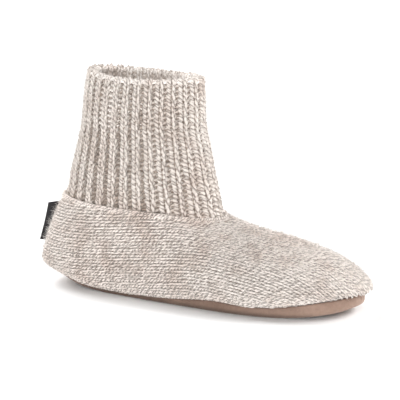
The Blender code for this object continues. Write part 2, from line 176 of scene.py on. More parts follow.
@dataclass
class Last:
    """The form that the sock is knitted to, in millimetres from the back of the heel."""
    length: float = 272.0
    heel_width: float = 73.0
    ball_width: float = 95.0
    side_height: float = 18.0
    ankle_height: float = 65.0
    instep_height: float = 59.2
    opening_centre: float = 85.75
    opening_length: float = 136.5
    opening_width: float = 70.0
    opening_crowding: float = 0.18   # how much closer together the seam's points lie in front
    fullness: float = 2.4
    roundness: float = 2.2
    heel_fullness: float = 1.6
    heel_roundness: float = 1.3
    toe_fullness: float = 1.8
    toe_roundness: float = 1.7
    under_turn: float = pi / 3
    toe_start: float = 215.0      # station at which the section starts to turn into the toe's
    toe_run: float = 45.0         # and the length over which it does so
    curves: dict[str, Array] = field(init=False)

    def __post_init__(self) -> None:
        """Work out the smooth curves once."""
        self.heel_centre = self.heel_width / 2 + 0.5
        self.front = self.opening_centre + self.opening_length / 2
        half, ball = self.heel_width / 2, self.ball_width / 2
        ankle, end = self.ankle_height, self.length
        self.curves = {
            "half_width": smooth_curve((
                (0, 0), (3.5, 15), (14, 28), (self.heel_centre, half), (80, 38.5), (130, 43), (180, ball),
                (215, 45.5), (244, 36.5), (262, 23), (270, 10), (end, 0)), 1200),
            "instep": smooth_curve((
                (140, 63.5), (self.front, self.instep_height), (164, 55.8), (175, 53.2), (200, 49.1),
                (225, 43.7), (245, 38.7), (259, 31.6), (267.5, 26.0), (271.2, 22.3), (end, 19.5))),
            "seam": smooth_curve((
                (13, ankle + 3.3), (25, ankle + 2.1), (45, ankle + 0.8), (75, ankle), (110, ankle - 1),
                (self.front, self.instep_height))),
        }
        sole = (
            (0, 9, 2.5, 15), (12, 7, 2.5, 13.5), (25, 5, 2.5, 11.5), (38, 3.2, 2.3, 9.5), (50, 1.6, 2, 7.8),
            (62, 0.5, 2.1, 6.6), (76, 0, 2.4, 5), (110, 0, 3.4, 3.2), (135, 0, 5.3, 2.8), (165, 0, 8.2, 2.8),
            (190, 0, 7.2, 3.2), (208, 0, 7.4, 4.2), (225, 0.5, 8.6, 5), (245, 2.5, 10, 5), (260, 5, 9.7, 5.5),
            (end, 9, 8, 6))
        for column, name in ((1, "lift"), (2, "band"), (3, "tuck")):
            self.curves[name] = smooth_curve(tuple((row[0], row[column]) for row in sole))

    def read(self, name: str, station: Array) -> Array:
        """Value of one of the smooth curves at the given stations."""
        return read_table(self.curves[name], station)

    def widest_height(self, x: Array) -> Array:
        """Height of the widest line, a little higher at toe and heel."""
        toe = np.clip((x - 200) / (self.length - 200), 0, 1)
        return self.side_height + 2.0 * toe ** 2 + np.clip(1 - x / 60, 0, 1)

    def underside(self, x: Array) -> Array:
        """Height of the sole's underside."""
        return np.maximum(self.read("lift", x), 0)

    def knit_edge_height(self, x: Array) -> Array:
        """Height at which the knit meets the sole."""
        return self.underside(x) + self.read("band", x)

    def shoulder(self, reach: Array, heel: Array | float = 0.0, toe: Array | float = 0.0) -> Array:
        """Height share of a rounded section, 1 over its middle and 0 at its side.

        Args:
            reach: Distance from the middle, as a share of the distance to the side.
            heel: How far the section is like that at the back of the heel, 0 to 1.
            toe: How far it is like that of the toe, 0 to 1.

        Returns:
            The share for each distance.
        """
        fullness = (self.fullness + (self.heel_fullness - self.fullness) * ease(heel)
                    + (self.toe_fullness - self.fullness) * ease(toe))
        roundness = (self.roundness + (self.heel_roundness - self.roundness) * ease(heel)
                     + (self.toe_roundness - self.roundness) * ease(toe))
        return (1 - np.clip(reach, 0, 1) ** fullness) ** (1 / roundness)

    def reach_of_opening(self, angle: Array) -> Array:
        """Distance from the heel's axis to the ankle seam.

        Args:
            angle: Angle from straight back.

        Returns:
            The distance at each angle.
        """
        a_x = -np.cos(angle) / (self.opening_length / 2)
        a_y = np.sin(angle) / (self.opening_width / 2)
        start = (self.heel_centre - self.opening_centre) / (self.opening_length / 2)
        a, b = a_x ** 2 + a_y ** 2, 2 * start * a_x
        return (-b + np.sqrt(b * b - 4 * a * (start * start - 1))) / (2 * a)

    def reach_of_heel(self, angle: Array) -> Array:
        """Distance from the heel's axis to the heel's outline.

        Args:
            angle: Angle from straight back.

        Returns:
            The distance at each angle.
        """
        curve = self.curves["half_width"]
        heel = curve[curve[:, 0] <= self.heel_centre + 8]
        back = self.heel_centre - heel[:, 0]
        return np.interp(angle, np.arctan2(heel[:, 1], back), np.hypot(heel[:, 1], back))

    def height(self, x: Array, y: Array) -> Array:
        """Height of the foot's outer surface over points of the plan, above its widest line.

        Args:
            x: Stations of the points.
            y: Their distances from the middle.

        Returns:
            The height over each point.
        """
        x, y = np.asarray(x, float), np.abs(np.asarray(y, float))
        half = np.maximum(self.read("half_width", x), 1e-6)
        side = self.widest_height(x)
        along = (x - self.opening_centre) / (self.opening_length / 2)
        opening = np.sqrt(np.clip(1 - along ** 2, 0, 1)) * self.opening_width / 2
        behind = (self.read("seam", x) - side) / np.maximum(self.shoulder(opening / half), 0.05)
        crown = np.where(x < self.front, behind, self.read("instep", x) - side)
        forward = side + crown * self.shoulder(y / half, toe=(x - self.toe_start) / self.toe_run)
        angle = np.arctan2(y, np.maximum(self.heel_centre - x, 1e-9))
        heel, seam = self.reach_of_heel(angle), self.reach_of_opening(angle)
        seam_height = self.read("seam", self.heel_centre - seam * np.cos(angle))
        back = (pi / 2 - angle) / (pi / 3)
        crown = (seam_height - side) / self.shoulder(seam / heel, back)
        turned = side + crown * self.shoulder(np.hypot(self.heel_centre - x, y) / heel, back)
        return np.where(x < self.heel_centre, turned, forward)

    def widest_side(self, count: int, crowding: float = 0.03) -> Array:
        """Plan points of the widest line on the +Y side, from heel to toe.

        Args:
            count: Number of points.
            crowding: How much closer together they lie at heel and toe.

        Returns:
            One plan point a row, both ends on the middle plane.
        """
        curve = self.curves["half_width"]
        walk = walked(curve)
        share = np.linspace(0, 1, count)
        side = read_along((share - crowding * np.sin(2 * pi * share)) * walk[-1], walk, curve)
        side[0], side[-1] = (0.0, 0.0), (self.length, 0.0)
        return side

    def side_normals(self, side: Array) -> Array:
        """Outward plan normals of a side line.

        Args:
            side: Its plan points, both ends on the middle plane.

        Returns:
            One unit vector a point.
        """
        full = np.vstack([side[1] * (1, -1), side, side[-2] * (1, -1)])
        along = full[2:] - full[:-2]
        return unit(np.column_stack([-along[:, 1], along[:, 0]]))

    def opening_side(self, count: int) -> Array:
        """Plan points of the ankle seam on the +Y side, matched to the widest line's points.

        Args:
            count: Number of points.

        Returns:
            One plan point a row, from the back.
        """
        share = np.linspace(0, pi, count)
        return self.opening(share + self.opening_crowding * np.sin(share))

    def opening(self, angle: Array) -> Array:
        """Plan points of the ankle seam at angles round its middle.

        Args:
            angle: The angles, 0 at the back.

        Returns:
            One plan point a row.
        """
        return np.column_stack([
            self.opening_centre - self.opening_length / 2 * np.cos(angle),
            self.opening_width / 2 * np.sin(angle)])


LAST = Last()
GROUND = Ground(LAST.length)


# ---------------------------------------------------------------- meshes
def round_trip(half: Array) -> Array:
    """Rows on the +Y side, in plan or in space, carried round by the mirrored rows of the other side."""
    return np.concatenate([half, (half * (1, -1, 1)[:half.shape[-1]])[-2:0:-1]])


def add_object(name: str, data: bpy.types.ID | None) -> Piece:
    """Link a new object to the scene.

    Args:
        name: Name of the object.
        data: Its mesh, light or camera.

    Returns:
        The object, at the origin.
    """
    piece = bpy.data.objects.new(name, data)
    bpy.context.scene.collection.objects.link(piece)
    return piece


def make_mesh(name: str, points: Array, faces: Faces, closed: bool = False) -> Piece:
    """A smooth mesh object at the origin, from points in millimetres, its faces outwards.

    Args:
        name: Name of the object and its mesh.
        points: Points from the back of the heel, one a row or in a grid.
        faces: Point numbers of each face, if there are any.
        closed: Whether they enclose a solid.

    Returns:
        The object, linked to the scene.
    """
    data = bpy.data.meshes.new(name)
    data.from_pydata(GROUND.place(points.reshape(-1, 3)).tolist(), [], faces)
    data.shade_smooth()
    piece = add_object(name, data)
    if faces:
        face_outwards(piece, closed)
    return piece


def make_loft(name: str, rings: list[Array]) -> Piece:
    """A closed form through symmetric rings of points, both ends closed with rungs.

    Args:
        name: Name of the object and its mesh.
        rings: Points round the form, from the first end to the last.

    Returns:
        The object, linked to the scene.
    """
    rows, count = len(rings), len(rings[0])
    faces = loft_faces(rows, count, False, True)
    faces += ladder_faces(0, count) + ladder_faces((rows - 1) * count, count)
    return make_mesh(name, np.array(rings), faces, closed=True)


def loft_faces(rows: int, columns: int, ring: bool, tube: bool) -> Faces:
    """Faces between the points of a grid.

    Args:
        rows: Number of rows of points.
        columns: Number of points in a row.
        ring: Whether the last row joins the first.
        tube: Whether the last column joins the first.

    Returns:
        One face for each cell of the grid.
    """
    faces = []
    for i in range(rows if ring else rows - 1):
        for j in range(columns if tube else columns - 1):
            k, m = (i + 1) % rows, (j + 1) % columns
            faces.append((i * columns + j, i * columns + m, k * columns + m, k * columns + j))
    return faces


def ladder_faces(start: int, count: int) -> Faces:
    """Faces that close a symmetric loop of points with rungs from side to side.

    Args:
        start: Number of the loop's first point.
        count: Number of its points.

    Returns:
        A triangle at each end and four-sided faces between them.
    """
    half = count // 2
    faces = [(start, start + 1, start + count - 1), (start + half - 1, start + half, start + half + 1)]
    for i in range(1, half - 1):
        faces.append((start + i, start + i + 1, start + count - i - 1, start + count - i))
    return faces


def face_outwards(piece: Piece, closed: bool = True) -> None:
    """Turn a mesh's faces outwards, or an open shell's away from the middle plane.

    Args:
        piece: The object whose mesh is mended.
        closed: Whether the mesh is closed; then points that coincide are merged too.
    """
    mesh = bmesh.new()
    mesh.from_mesh(piece.data)
    if closed:
        bmesh.ops.remove_doubles(mesh, verts=mesh.verts, dist=1e-7)
        bmesh.ops.recalc_face_normals(mesh, faces=mesh.faces)
    elif sum(face.normal.y * face.calc_center_median().y * face.calc_area() for face in mesh.faces) < 0:
        bmesh.ops.reverse_faces(mesh, faces=mesh.faces)
    mesh.to_mesh(piece.data)
    mesh.free()


def dress(piece: Piece, material: Material) -> Piece:
    """Give a finished piece its material, let it ride on the body, and report it.

    Args:
        piece: The finished piece.
        material: Its finish.

    Returns:
        The same piece.
    """
    if not piece.data.materials:
        piece.data.materials.append(material)
    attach(piece, BODY)
    LOG.info("%s: %d faces", piece.name, len(piece.data.polygons))
    return piece


# ---------------------------------------------------------------- finishes
def shade(*screen: int) -> Colour:
    """A screen colour, its red, green and blue from 0 to 255, as the linear colour that a shader takes."""
    parts = (value / 255 for value in screen)
    return (*(part / 12.92 if part <= 0.04045 else ((part + 0.055) / 1.055) ** 2.4 for part in parts), 1.0)


class Nodes:
    """A node tree, with a short way to add and join its nodes."""

    def __init__(self, tree: bpy.types.NodeTree) -> None:
        """Take a tree in hand."""
        self.tree = tree

    def feed(self, target: Socket, source: object) -> None:
        """Join a socket to another node's output, or set its value.

        Args:
            target: The socket to fill.
            source: The output or the plain value.
        """
        if isinstance(source, Socket):
            self.tree.links.new(source, target)
        else:
            target.default_value = source

    def node(self, kind: str, feeds: dict[object, object] | None = None,
             **settings: object) -> bpy.types.Node:
        """Add a node.

        Args:
            kind: The node's type.
            feeds: An output or a plain value for each of its sockets that gets one.
            **settings: Its properties.

        Returns:
            The node.
        """
        node = self.tree.nodes.new(kind)
        for key, value in settings.items():
            setattr(node, key, value)
        for key, value in (feeds or {}).items():
            self.feed(node.inputs[key], value)
        return node


class Shader(Nodes):
    """A Principled material."""

    def __init__(self, name: str, roughness: float) -> None:
        """Start a material.

        Args:
            name: The material's name.
            roughness: Its even roughness.
        """
        self.material = bpy.data.materials.new(name)
        self.material.use_nodes = True
        super().__init__(self.material.node_tree)
        self.shader = self.tree.nodes["Principled BSDF"]
        self.shader.inputs["Roughness"].default_value = roughness

    def math(self, operation: str, *values: object) -> Socket:
        """A Math node's result."""
        return self.node("ShaderNodeMath", dict(enumerate(values)), operation=operation).outputs[0]

    def blend(self, part: Socket, factor: float, rest: object) -> Socket:
        """A part times a factor, plus the rest."""
        return self.math("MULTIPLY_ADD", part, factor, rest)

    def mix(self, share: object, first: object, second: object, blend: str = "MIX") -> Socket:
        """A colour mixed from two, by the share of the second."""
        feeds = {0: share, 6: first, 7: second}
        return self.node("ShaderNodeMix", feeds, data_type="RGBA", blend_type=blend).outputs[2]

    def tint(self, colour: object, clear: object, shadow: Colour) -> Socket:
        """A colour multiplied by a shadow where a share is 0, and left as it is where it is 1."""
        return self.mix(1.0, colour, self.mix(clear, shadow, WHITE), "MULTIPLY")

    def ramp(self, value: object, low: float, high: float, end: float = 1.0) -> Socket:
        """0 where a value is low or less, rising smoothly to an end where it is high or more."""
        feeds = dict(enumerate((value, low, high, 0.0, end)))
        return self.node("ShaderNodeMapRange", feeds, interpolation_type="SMOOTHSTEP").outputs[0]

    def noise(self, scale: float, detail: float, where: object = None) -> Socket:
        """A noise texture's value at object coordinates, or at others."""
        feeds = {"Vector": self.place() if where is None else where, "Scale": scale, "Detail": detail}
        return self.node("ShaderNodeTexNoise", feeds).outputs["Fac"]

    def shades(self, value: object, low: float, high: float, dark: Colour, light: Colour) -> Socket:
        """A colour that goes from dark to light as a value rises from low to high."""
        return self.mix(self.ramp(value, low, high), dark, light)

    def place(self) -> Socket:
        """Object coordinates."""
        return self.node("ShaderNodeTexCoord").outputs["Object"]

    def parts(self, vector: Socket) -> bpy.types.NodeOutputs:
        """The three parts of a vector."""
        return self.node("ShaderNodeSeparateXYZ", {0: vector}).outputs

    def paint(self, colour: object) -> None:
        """Set the surface's colour."""
        self.feed(self.shader.inputs["Base Color"], colour)

    def bump(self, height: object, distance: float, strength: float = 1.0) -> None:
        """Raise the surface in its shading by a height times a distance in metres."""
        bump = self.node("ShaderNodeBump", {"Strength": strength, "Distance": distance, "Height": height})
        self.feed(self.shader.inputs["Normal"], bump.outputs["Normal"])

    def sheen(self, weight: float, roughness: float, tint: Colour) -> None:
        """Give the surface an even velvet sheen."""
        for key, value in (("Weight", weight), ("Roughness", roughness), ("Tint", tint)):
            self.shader.inputs["Sheen " + key].default_value = value


@dataclass(frozen=True)
class RaggYarn:
    """Two-ply wool, one ply cream and one taupe, twisted so that both show in every stitch."""
    name: str
    cream: Colour = shade(229, 219, 212)
    taupe: Colour = shade(98, 85, 76)
    pairs: int = 2                # pairs of a cream and a taupe ply round the yarn
    twist: float = 0.24           # turns of a pair for each millimetre of yarn
    taupe_share: float = 0.4
    fray: float = 1.8             # how far single fibres stray over the edge between two plies
    unlike: float = 0.35          # how much lighter or darker one stitch is than another
    patch_scale: float = 55.0     # dye patches to a metre
    warm: Colour = shade(196, 172, 158)
    grey: Colour = shade(226, 226, 222)

    def material(self) -> Material:
        """Colour by twist, fibre and dye lot, with the plies raised.

        Returns:
            The material, which reads the yarn's UV map and each stitch's tone.
        """
        shader = Shader(self.name, roughness=0.92)
        along, across, _ = shader.parts(shader.node("ShaderNodeUVMap", uv_map="UVMap").outputs[0])
        tone = shader.node("ShaderNodeAttribute", attribute_name="tone").outputs["Fac"]
        around = shader.math("MULTIPLY", across, float(self.pairs))
        turn = shader.blend(along, self.twist, around)
        turn = shader.blend(tone, 7.0, turn)       # each stitch starts at a turn of its own
        ply = shader.math("SINE", shader.math("MULTIPLY", turn, 2 * pi))
        strand = shader.node("ShaderNodeCombineXYZ", {
            0: shader.math("MULTIPLY", along, 0.6), 1: shader.math("MULTIPLY", turn, 5.0),
            2: shader.math("MULTIPLY", tone, 31.0)})
        fibre = shader.noise(1.0, 3.0, strand.outputs[0])
        edge = shader.blend(shader.math("SUBTRACT", fibre, 0.5), self.fray, ply)
        lean = shader.blend(shader.math("SUBTRACT", tone, 0.5), self.unlike, edge)
        dark = shader.ramp(lean, 0.1, 0.9, self.taupe_share * 2)
        marl = shader.mix(dark, self.cream, self.taupe)
        patch = shader.noise(self.patch_scale, 2.5)
        marl = shader.mix(shader.ramp(patch, 0.42, 0.68, 0.35), marl, self.warm, "MULTIPLY")
        broad = shader.noise(self.patch_scale * 0.35, 1.0)
        shader.paint(shader.mix(shader.ramp(broad, 0.35, 0.7, 0.16), marl, self.grey))
        shader.bump(shader.blend(ply, 0.5, fibre), 0.00025, 0.8)
        shader.sheen(0.35, 0.6, shade(250, 244, 238))
        return shader.material


@dataclass(frozen=True)
class GroundKnit:
    """The ground of the knit, seen between and behind the stitches; its colours are painted shade, and in the
    cuff's lining painted light.
    """
    name: str
    light: Colour = shade(163, 151, 141)
    dark: Colour = shade(117, 104, 93)

    def material(self) -> Material:
        """Flecked taupe with a fine loopy relief.

        Returns:
            The material.
        """
        shader = Shader(self.name, roughness=0.95)
        fleck = shader.noise(900.0, 3.0)
        patch = shader.noise(90.0, 2.0)
        shader.paint(shader.shades(shader.blend(patch, 0.6, fleck), 0.55, 1.05, self.dark, self.light))
        shader.bump(fleck, 0.0006, 0.9)
        shader.sheen(0.3, 0.6, shade(240, 232, 224))
        return shader.material


@dataclass(frozen=True)
class Suede:
    """Soft brushed suede with a cloudy nap."""
    name: str = "sueded_sole"
    light: Colour = shade(162, 136, 121)
    dark: Colour = shade(132, 108, 94)
    floor_shade: Colour = shade(172, 172, 172)      # painted shade: multiplies the nap near the floor
    heel: Colour = shade(208, 204, 202)        # painted shade: multiplies the nap towards the heel, so that the toe reads lighter
    floor_shade_from: Pair = (0.0005, 0.005)    # heights in metres
    heel_shade_from: Pair = (0.045, 0.13)        # places along the sole in metres

    def material(self) -> Material:
        """Clouds of brushed nap, a fine grain and pores, with painted shade towards the heel and near the
        floor that leaves the toe paler.

        Returns:
            The material.
        """
        shader = Shader(self.name, roughness=0.88)
        cloud = shader.noise(45.0, 4.0)
        grain = shader.noise(1400.0, 2.0)
        pores = shader.noise(420.0, 3.0)
        clouds = shader.blend(pores, 0.5, shader.blend(grain, 0.3, cloud))
        nap = shader.shades(clouds, 0.5, 1.25, self.dark, self.light)
        along, _, height = shader.parts(shader.place())
        # painted shade: the nap darkens from the toe back towards the heel
        nap = shader.tint(nap, shader.ramp(along, *self.heel_shade_from), self.heel)
        # painted shade: the nap darkens towards the floor
        nap = shader.tint(nap, shader.ramp(height, *self.floor_shade_from), self.floor_shade)
        shader.paint(nap)
        shader.bump(shader.blend(pores, 0.8, grain), 0.0003, 0.7)
        shader.sheen(0.5, 0.5, shade(232, 212, 200))
        return shader.material


@dataclass(frozen=True)
class Fleece:
    """Curly cream fleece."""
    name: str = "fleece"
    light: Colour = shade(220, 211, 200)
    dark: Colour = shade(184, 172, 157)

    def material(self) -> Material:
        """Small light curls, with painted shade in the hollows between them.

        Returns:
            The material.
        """
        shader = Shader(self.name, roughness=0.97)
        curl = shader.noise(520.0, 4.0)
        lump = shader.noise(160.0, 2.0)
        # painted shade: the hollows of the curls' relief are darker
        shader.paint(shader.shades(shader.blend(lump, 0.7, curl), 0.6, 1.1, self.dark, self.light))
        shader.bump(shader.math("ADD", lump, curl), 0.0012, 1.0)
        shader.sheen(0.5, 0.6, shade(255, 250, 243))
        return shader.material


@dataclass(frozen=True)
class WovenTape:
    """Near-black tape with a fine twill."""
    name: str = "woven_tab"
    light: Colour = shade(30, 25, 28)
    dark: Colour = shade(9, 7, 8)
    pitch: float = 0.9            # millimetres from one rib of the weave to the next

    def material(self) -> Material:
        """Slanting ribs crossed by fine picks.

        Returns:
            The material.
        """
        shader = Shader(self.name, roughness=0.72)
        along, _, height = shader.parts(shader.place())
        turns = 2 * pi / (self.pitch * 0.001)
        slant = shader.math("ADD", along, shader.math("MULTIPLY", height, 0.8))
        rib = shader.math("SINE", shader.math("MULTIPLY", slant, turns))
        pick = shader.math("SINE", shader.math("MULTIPLY", height, turns * 1.6))
        weave = shader.blend(shader.math("MULTIPLY", rib, pick), 0.25, 0.5)
        lint = shader.noise(900.0, 3.0)
        shader.paint(shader.shades(shader.blend(lint, 0.6, weave), 0.5, 1.1, self.dark, self.light))
        shader.bump(weave, 0.00025, 0.9)
        shader.sheen(0.04, 0.5, shade(160, 150, 155))
        return shader.material


# ---------------------------------------------------------------- what repeats
CARRIED = ("along", "facing", "size")    # what each point of a plan carries


class Lean(Enum):
    """The two legs of a knitted V."""
    LEFT = -1
    RIGHT = 1


def yarn_tube(name: str, line: Array, thick: Array, sides: int) -> Piece:
    """A closed length of yarn, with U in millimetres along it and V once round it.

    Args:
        name: Name of the object.
        line: Points of the yarn's middle, in millimetres.
        thick: The yarn's radius at each point.
        sides: Number of sides round the yarn.

    Returns:
        The yarn as a mesh object in metres.
    """
    rings = len(line)
    tangent = unit(np.gradient(line, axis=0))
    side = unit(np.cross(np.array([0, 0, 1.0]), tangent))
    normal = np.cross(tangent, side)
    turn = 2 * pi * (np.arange(sides) + 0.5) / sides
    spokes = side[:, None] * np.cos(turn)[None, :, None] + normal[:, None] * np.sin(turn)[None, :, None]
    points = (line[:, None] + spokes * thick[:, None, None]).reshape(-1, 3)
    last = (rings - 1) * sides
    faces = loft_faces(rings, sides, ring=False, tube=True)
    faces += [tuple(range(sides))[::-1], tuple(range(last, last + sides))]
    data = bpy.data.meshes.new(name)
    data.from_pydata((points * GROUND.scale).tolist(), [], faces)
    walk = walked(line)
    layer = data.uv_layers.new(name="UVMap")
    for face in data.polygons:
        numbers = [data.loops[i].vertex_index for i in face.loop_indices]
        wraps = len(numbers) == 4 and any(n % sides == sides - 1 for n in numbers)
        for i, n in zip(face.loop_indices, numbers):
            around = n % sides + (sides if wraps and n % sides == 0 else 0)
            layer.data[i].uv = (walk[n // sides], around / sides)
    data.shade_smooth()
    piece = add_object(name, data)
    face_outwards(piece)
    return piece


@dataclass(frozen=True)
class StitchLeg:
    """One leg of a knitted V: it comes up at its foot, swells, spreads, and dives under the next V."""
    course: float                 # length that one V takes up along its column
    foot_spread: float            # how far the leg stands from the column's middle at its foot
    head_spread: float            # and at its head
    radius: float
    foot_overlap: float = 0.25    # share of a course by which the foot starts under the last V
    head_overlap: float = 0.25    # and by which the head runs on under the next
    drop: float = 0.0             # how far the leg sinks for each square millimetre from the column's middle
    bow: float = 1.15             # under 1 the leg bows outwards, so that two make a U
    rings: int = 6
    sides: int = 6
    rise: Rows = ((0, -0.85), (0.16, -0.28), (0.4, 0), (0.7, -0.08), (0.88, -0.4), (1, -0.95))
    swell: Rows = ((0, 0.55), (0.2, 0.82), (0.5, 1.0), (0.8, 0.86), (1, 0.6))

    def object(self, lean: Lean) -> Piece:
        """The leg as a mesh object that lies along X and rises along Z.

        Args:
            lean: Which leg of the V it is.

        Returns:
            A closed length of yarn.
        """
        share = np.linspace(0, 1, self.rings)
        along = (-self.foot_overlap + (1 + self.foot_overlap + self.head_overlap) * share) * self.course
        across = self.foot_spread + (self.head_spread - self.foot_spread) * share ** self.bow
        up = read_table(self.rise, share) * self.radius - self.drop * across ** 2
        line = np.column_stack([along, lean.value * across, up])
        thick = self.radius * read_table(self.swell, share)
        return yarn_tube(f"leg_{lean.name.lower()}", line, thick, self.sides)

    def pair(self) -> dict[str, Piece]:
        """Both legs, under the names of the stitch tree's inputs."""
        return {f"{lean.name.title()} Leg": self.object(lean) for lean in Lean}


@dataclass(frozen=True)
class PurlBump:
    """The small arch of yarn that shows across a furrow of the rib."""
    width: float = 4.4
    rise: float = 0.8
    radius: float = 1.2
    rings: int = 6
    sides: int = 5

    def object(self) -> Piece:
        """The arch as a mesh object that lies across Y.

        Returns:
            A closed length of yarn.
        """
        arch = np.sin(np.linspace(0, pi, self.rings))
        line = np.column_stack([
            self.rise * arch, np.linspace(-0.5, 0.5, self.rings) * self.width, 0.5 * arch - 0.5])
        return yarn_tube("purl_bump", line, self.radius * (0.75 + 0.25 * arch), self.sides)


@dataclass(frozen=True)
class WoolHair:
    """One loose fibre that stands off the wool: a thin thorn with three sides."""
    length: float = 4.2
    radius: float = 0.09

    def object(self) -> Piece:
        """The fibre as a mesh object that rises along Z.

        Returns:
            A closed thorn of four triangles.
        """
        turn = 2 * pi * np.arange(3) / 3
        base = np.column_stack([np.cos(turn), np.sin(turn), np.zeros(3)]) * self.radius
        points = np.vstack([base, [[0, 0, self.length]]])
        data = bpy.data.meshes.new("wool_hair")
        data.from_pydata((points * GROUND.scale).tolist(), [], [(2, 1, 0), (0, 1, 3), (1, 2, 3), (2, 0, 3)])
        data.uv_layers.new(name="UVMap")
        data.shade_smooth()
        return add_object("wool_hair", data)


@dataclass
class StitchPlan:
    """Where stitches lie: rows of places, directions, facings and sizes (length, width and height)."""
    rows: list[tuple[Array, ...]] = field(default_factory=list)

    def add(self, place: Array, along: Array, facing: Array, size: Array) -> None:
        """Add stitches, one to a row of each array."""
        self.rows.append((place, along, facing, size))

    def mirrored(self) -> "StitchPlan":
        """The same stitches on the other side of the middle plane."""
        flips = np.array([[1, -1, 1]] * 3 + [[1, 1, 1]])
        return StitchPlan([tuple(part * flip for part, flip in zip(row, flips)) for row in self.rows])

    def points(self, name: str) -> Piece:
        """The stitches as loose points that carry their direction, facing and size.

        Args:
            name: Name of the object.

        Returns:
            An object of points alone.
        """
        place, *carried = (np.vstack(part) for part in zip(*self.rows))
        piece = make_mesh(name, place, [])
        for key, values in zip(CARRIED, carried):
            attribute = piece.data.attributes.new(key, "FLOAT_VECTOR", "POINT")
            attribute.data.foreach_set("vector", values.astype(np.float32).ravel())
        return piece


@dataclass(frozen=True)
class FinishingRow:
    """A row of small stitches that closes or finishes the knit."""
    pitch: float
    bare_start: float             # length without stitches before the first
    bare_end: float               # and after the last
    depth: float                  # how far the yarn's middle lies under the last's surface
    size: Triple

    def plan(self, line: Array, facing: Array) -> StitchPlan:
        """Lay the row along a line.

        Args:
            line: Points of the line.
            facing: The way that the knit faces at each of them.

        Returns:
            The row's stitches.
        """
        walk = walked(line)
        at = np.arange(self.bare_start, walk[-1] - self.bare_end, self.pitch)
        place, ahead = read_along(at, walk, line), read_along(at + 0.5, walk, line)
        out = unit(read_along(at, walk, facing))
        plan = StitchPlan()
        plan.add(place - out * self.depth, unit(ahead - place), out, np.tile(self.size, (len(at), 1)))
        return plan


class Growth(Nodes):
    """A Geometry Nodes tree that sets small forms on many points and joins them into a mesh."""

    def __init__(self, name: str, inputs: dict[str, tuple[str, object]]) -> None:
        """Start a tree.

        Args:
            name: The tree's name.
            inputs: Type and default, or None, of each named input.
        """
        super().__init__(bpy.data.node_groups.new(name, "GeometryNodeTree"))
        for side in ("INPUT", "OUTPUT"):
            self.tree.interface.new_socket("Geometry", in_out=side, socket_type="NodeSocketGeometry")
        self.sockets: dict[str, str] = {}
        for key, (kind, default) in inputs.items():
            socket = self.tree.interface.new_socket(key, in_out="INPUT", socket_type=f"NodeSocket{kind}")
            self.sockets[key] = socket.identifier
            if default is not None:
                socket.default_value = default
        self.inputs = self.tree.nodes.new("NodeGroupInput")

    def given(self, name: str) -> Socket:
        """The named input inside the tree."""
        return self.inputs.outputs[name]

    def attribute(self, name: str) -> Socket:
        """A vector that the points carry."""
        node = self.node("GeometryNodeInputNamedAttribute", {"Name": name}, data_type="FLOAT_VECTOR")
        return node.outputs["Attribute"]

    def random_vector(self, reach: Socket, seed: Socket) -> Socket:
        """A random vector whose parts lie between minus and plus a reach.

        Args:
            reach: The largest value of each part.
            seed: The seed of the draw.

        Returns:
            The vector.
        """
        low = self.node("ShaderNodeVectorMath", {0: reach, 1: (-1.0, -1.0, -1.0)}, operation="MULTIPLY")
        feeds = {0: low.outputs[0], 1: reach, "Seed": seed}
        return self.node("FunctionNodeRandomValue", feeds, data_type="FLOAT_VECTOR").outputs[0]

    def set_on(self, points: Socket, form: str, rotation: Socket, size: Socket) -> Socket:
        """Set a small form on every point.

        Args:
            points: The points.
            form: The named input that brings the form.
            rotation: How it is turned at each point.
            size: How large it is there.

        Returns:
            The instances.
        """
        info = self.node("GeometryNodeObjectInfo", {"Object": self.given(form), "As Instance": True})
        placed = self.node("GeometryNodeInstanceOnPoints", {
            "Points": points, "Instance": info.outputs["Geometry"], "Rotation": rotation, "Scale": size})
        return placed.outputs[0]

    def close(self, instances: list[Socket]) -> None:
        """Join the instances, give each its random tone, realize them and set their material.

        Args:
            instances: The instances to join.
        """
        joined = self.node("GeometryNodeJoinGeometry")
        for socket in instances:
            self.tree.links.new(socket, joined.inputs[0])
        tone = self.node("FunctionNodeRandomValue", {"Seed": self.given("Seed")}, data_type="FLOAT")
        kept = self.node(
            "GeometryNodeStoreNamedAttribute",
            {"Geometry": joined.outputs[0], "Name": "tone", "Value": tone.outputs[1]},
            data_type="FLOAT", domain="INSTANCE")
        realized = self.node("GeometryNodeRealizeInstances", {"Geometry": kept.outputs[0]})
        finished = self.node(
            "GeometryNodeSetMaterial", {"Geometry": realized.outputs[0], "Material": self.given("Material")})
        out = self.tree.nodes.new("NodeGroupOutput")
        self.tree.links.new(finished.outputs[0], out.inputs[0])

    def grow(self, name: str, ground: Piece, values: dict[str, object]) -> Piece:
        """Run the tree on an object and keep the result as a plain mesh.

        Args:
            name: Name of the new piece.
            ground: The points or the surface to grow on, which is removed.
            values: A value for each named input that differs from its default.

        Returns:
            A plain mesh object at the origin.
        """
        modifier = ground.modifiers.new("growth", "NODES")
        modifier.node_group = self.tree
        for key, value in values.items():
            modifier[self.sockets[key]] = value
        depsgraph = bpy.context.evaluated_depsgraph_get()
        data = bpy.data.meshes.new_from_object(
            ground.evaluated_get(depsgraph), preserve_all_data_layers=True, depsgraph=depsgraph)
        data.name = name
        for key in CARRIED:
            if key in data.attributes:
                data.attributes.remove(data.attributes[key])
        bpy.data.objects.remove(ground, do_unlink=True)
        return add_object(name, data)


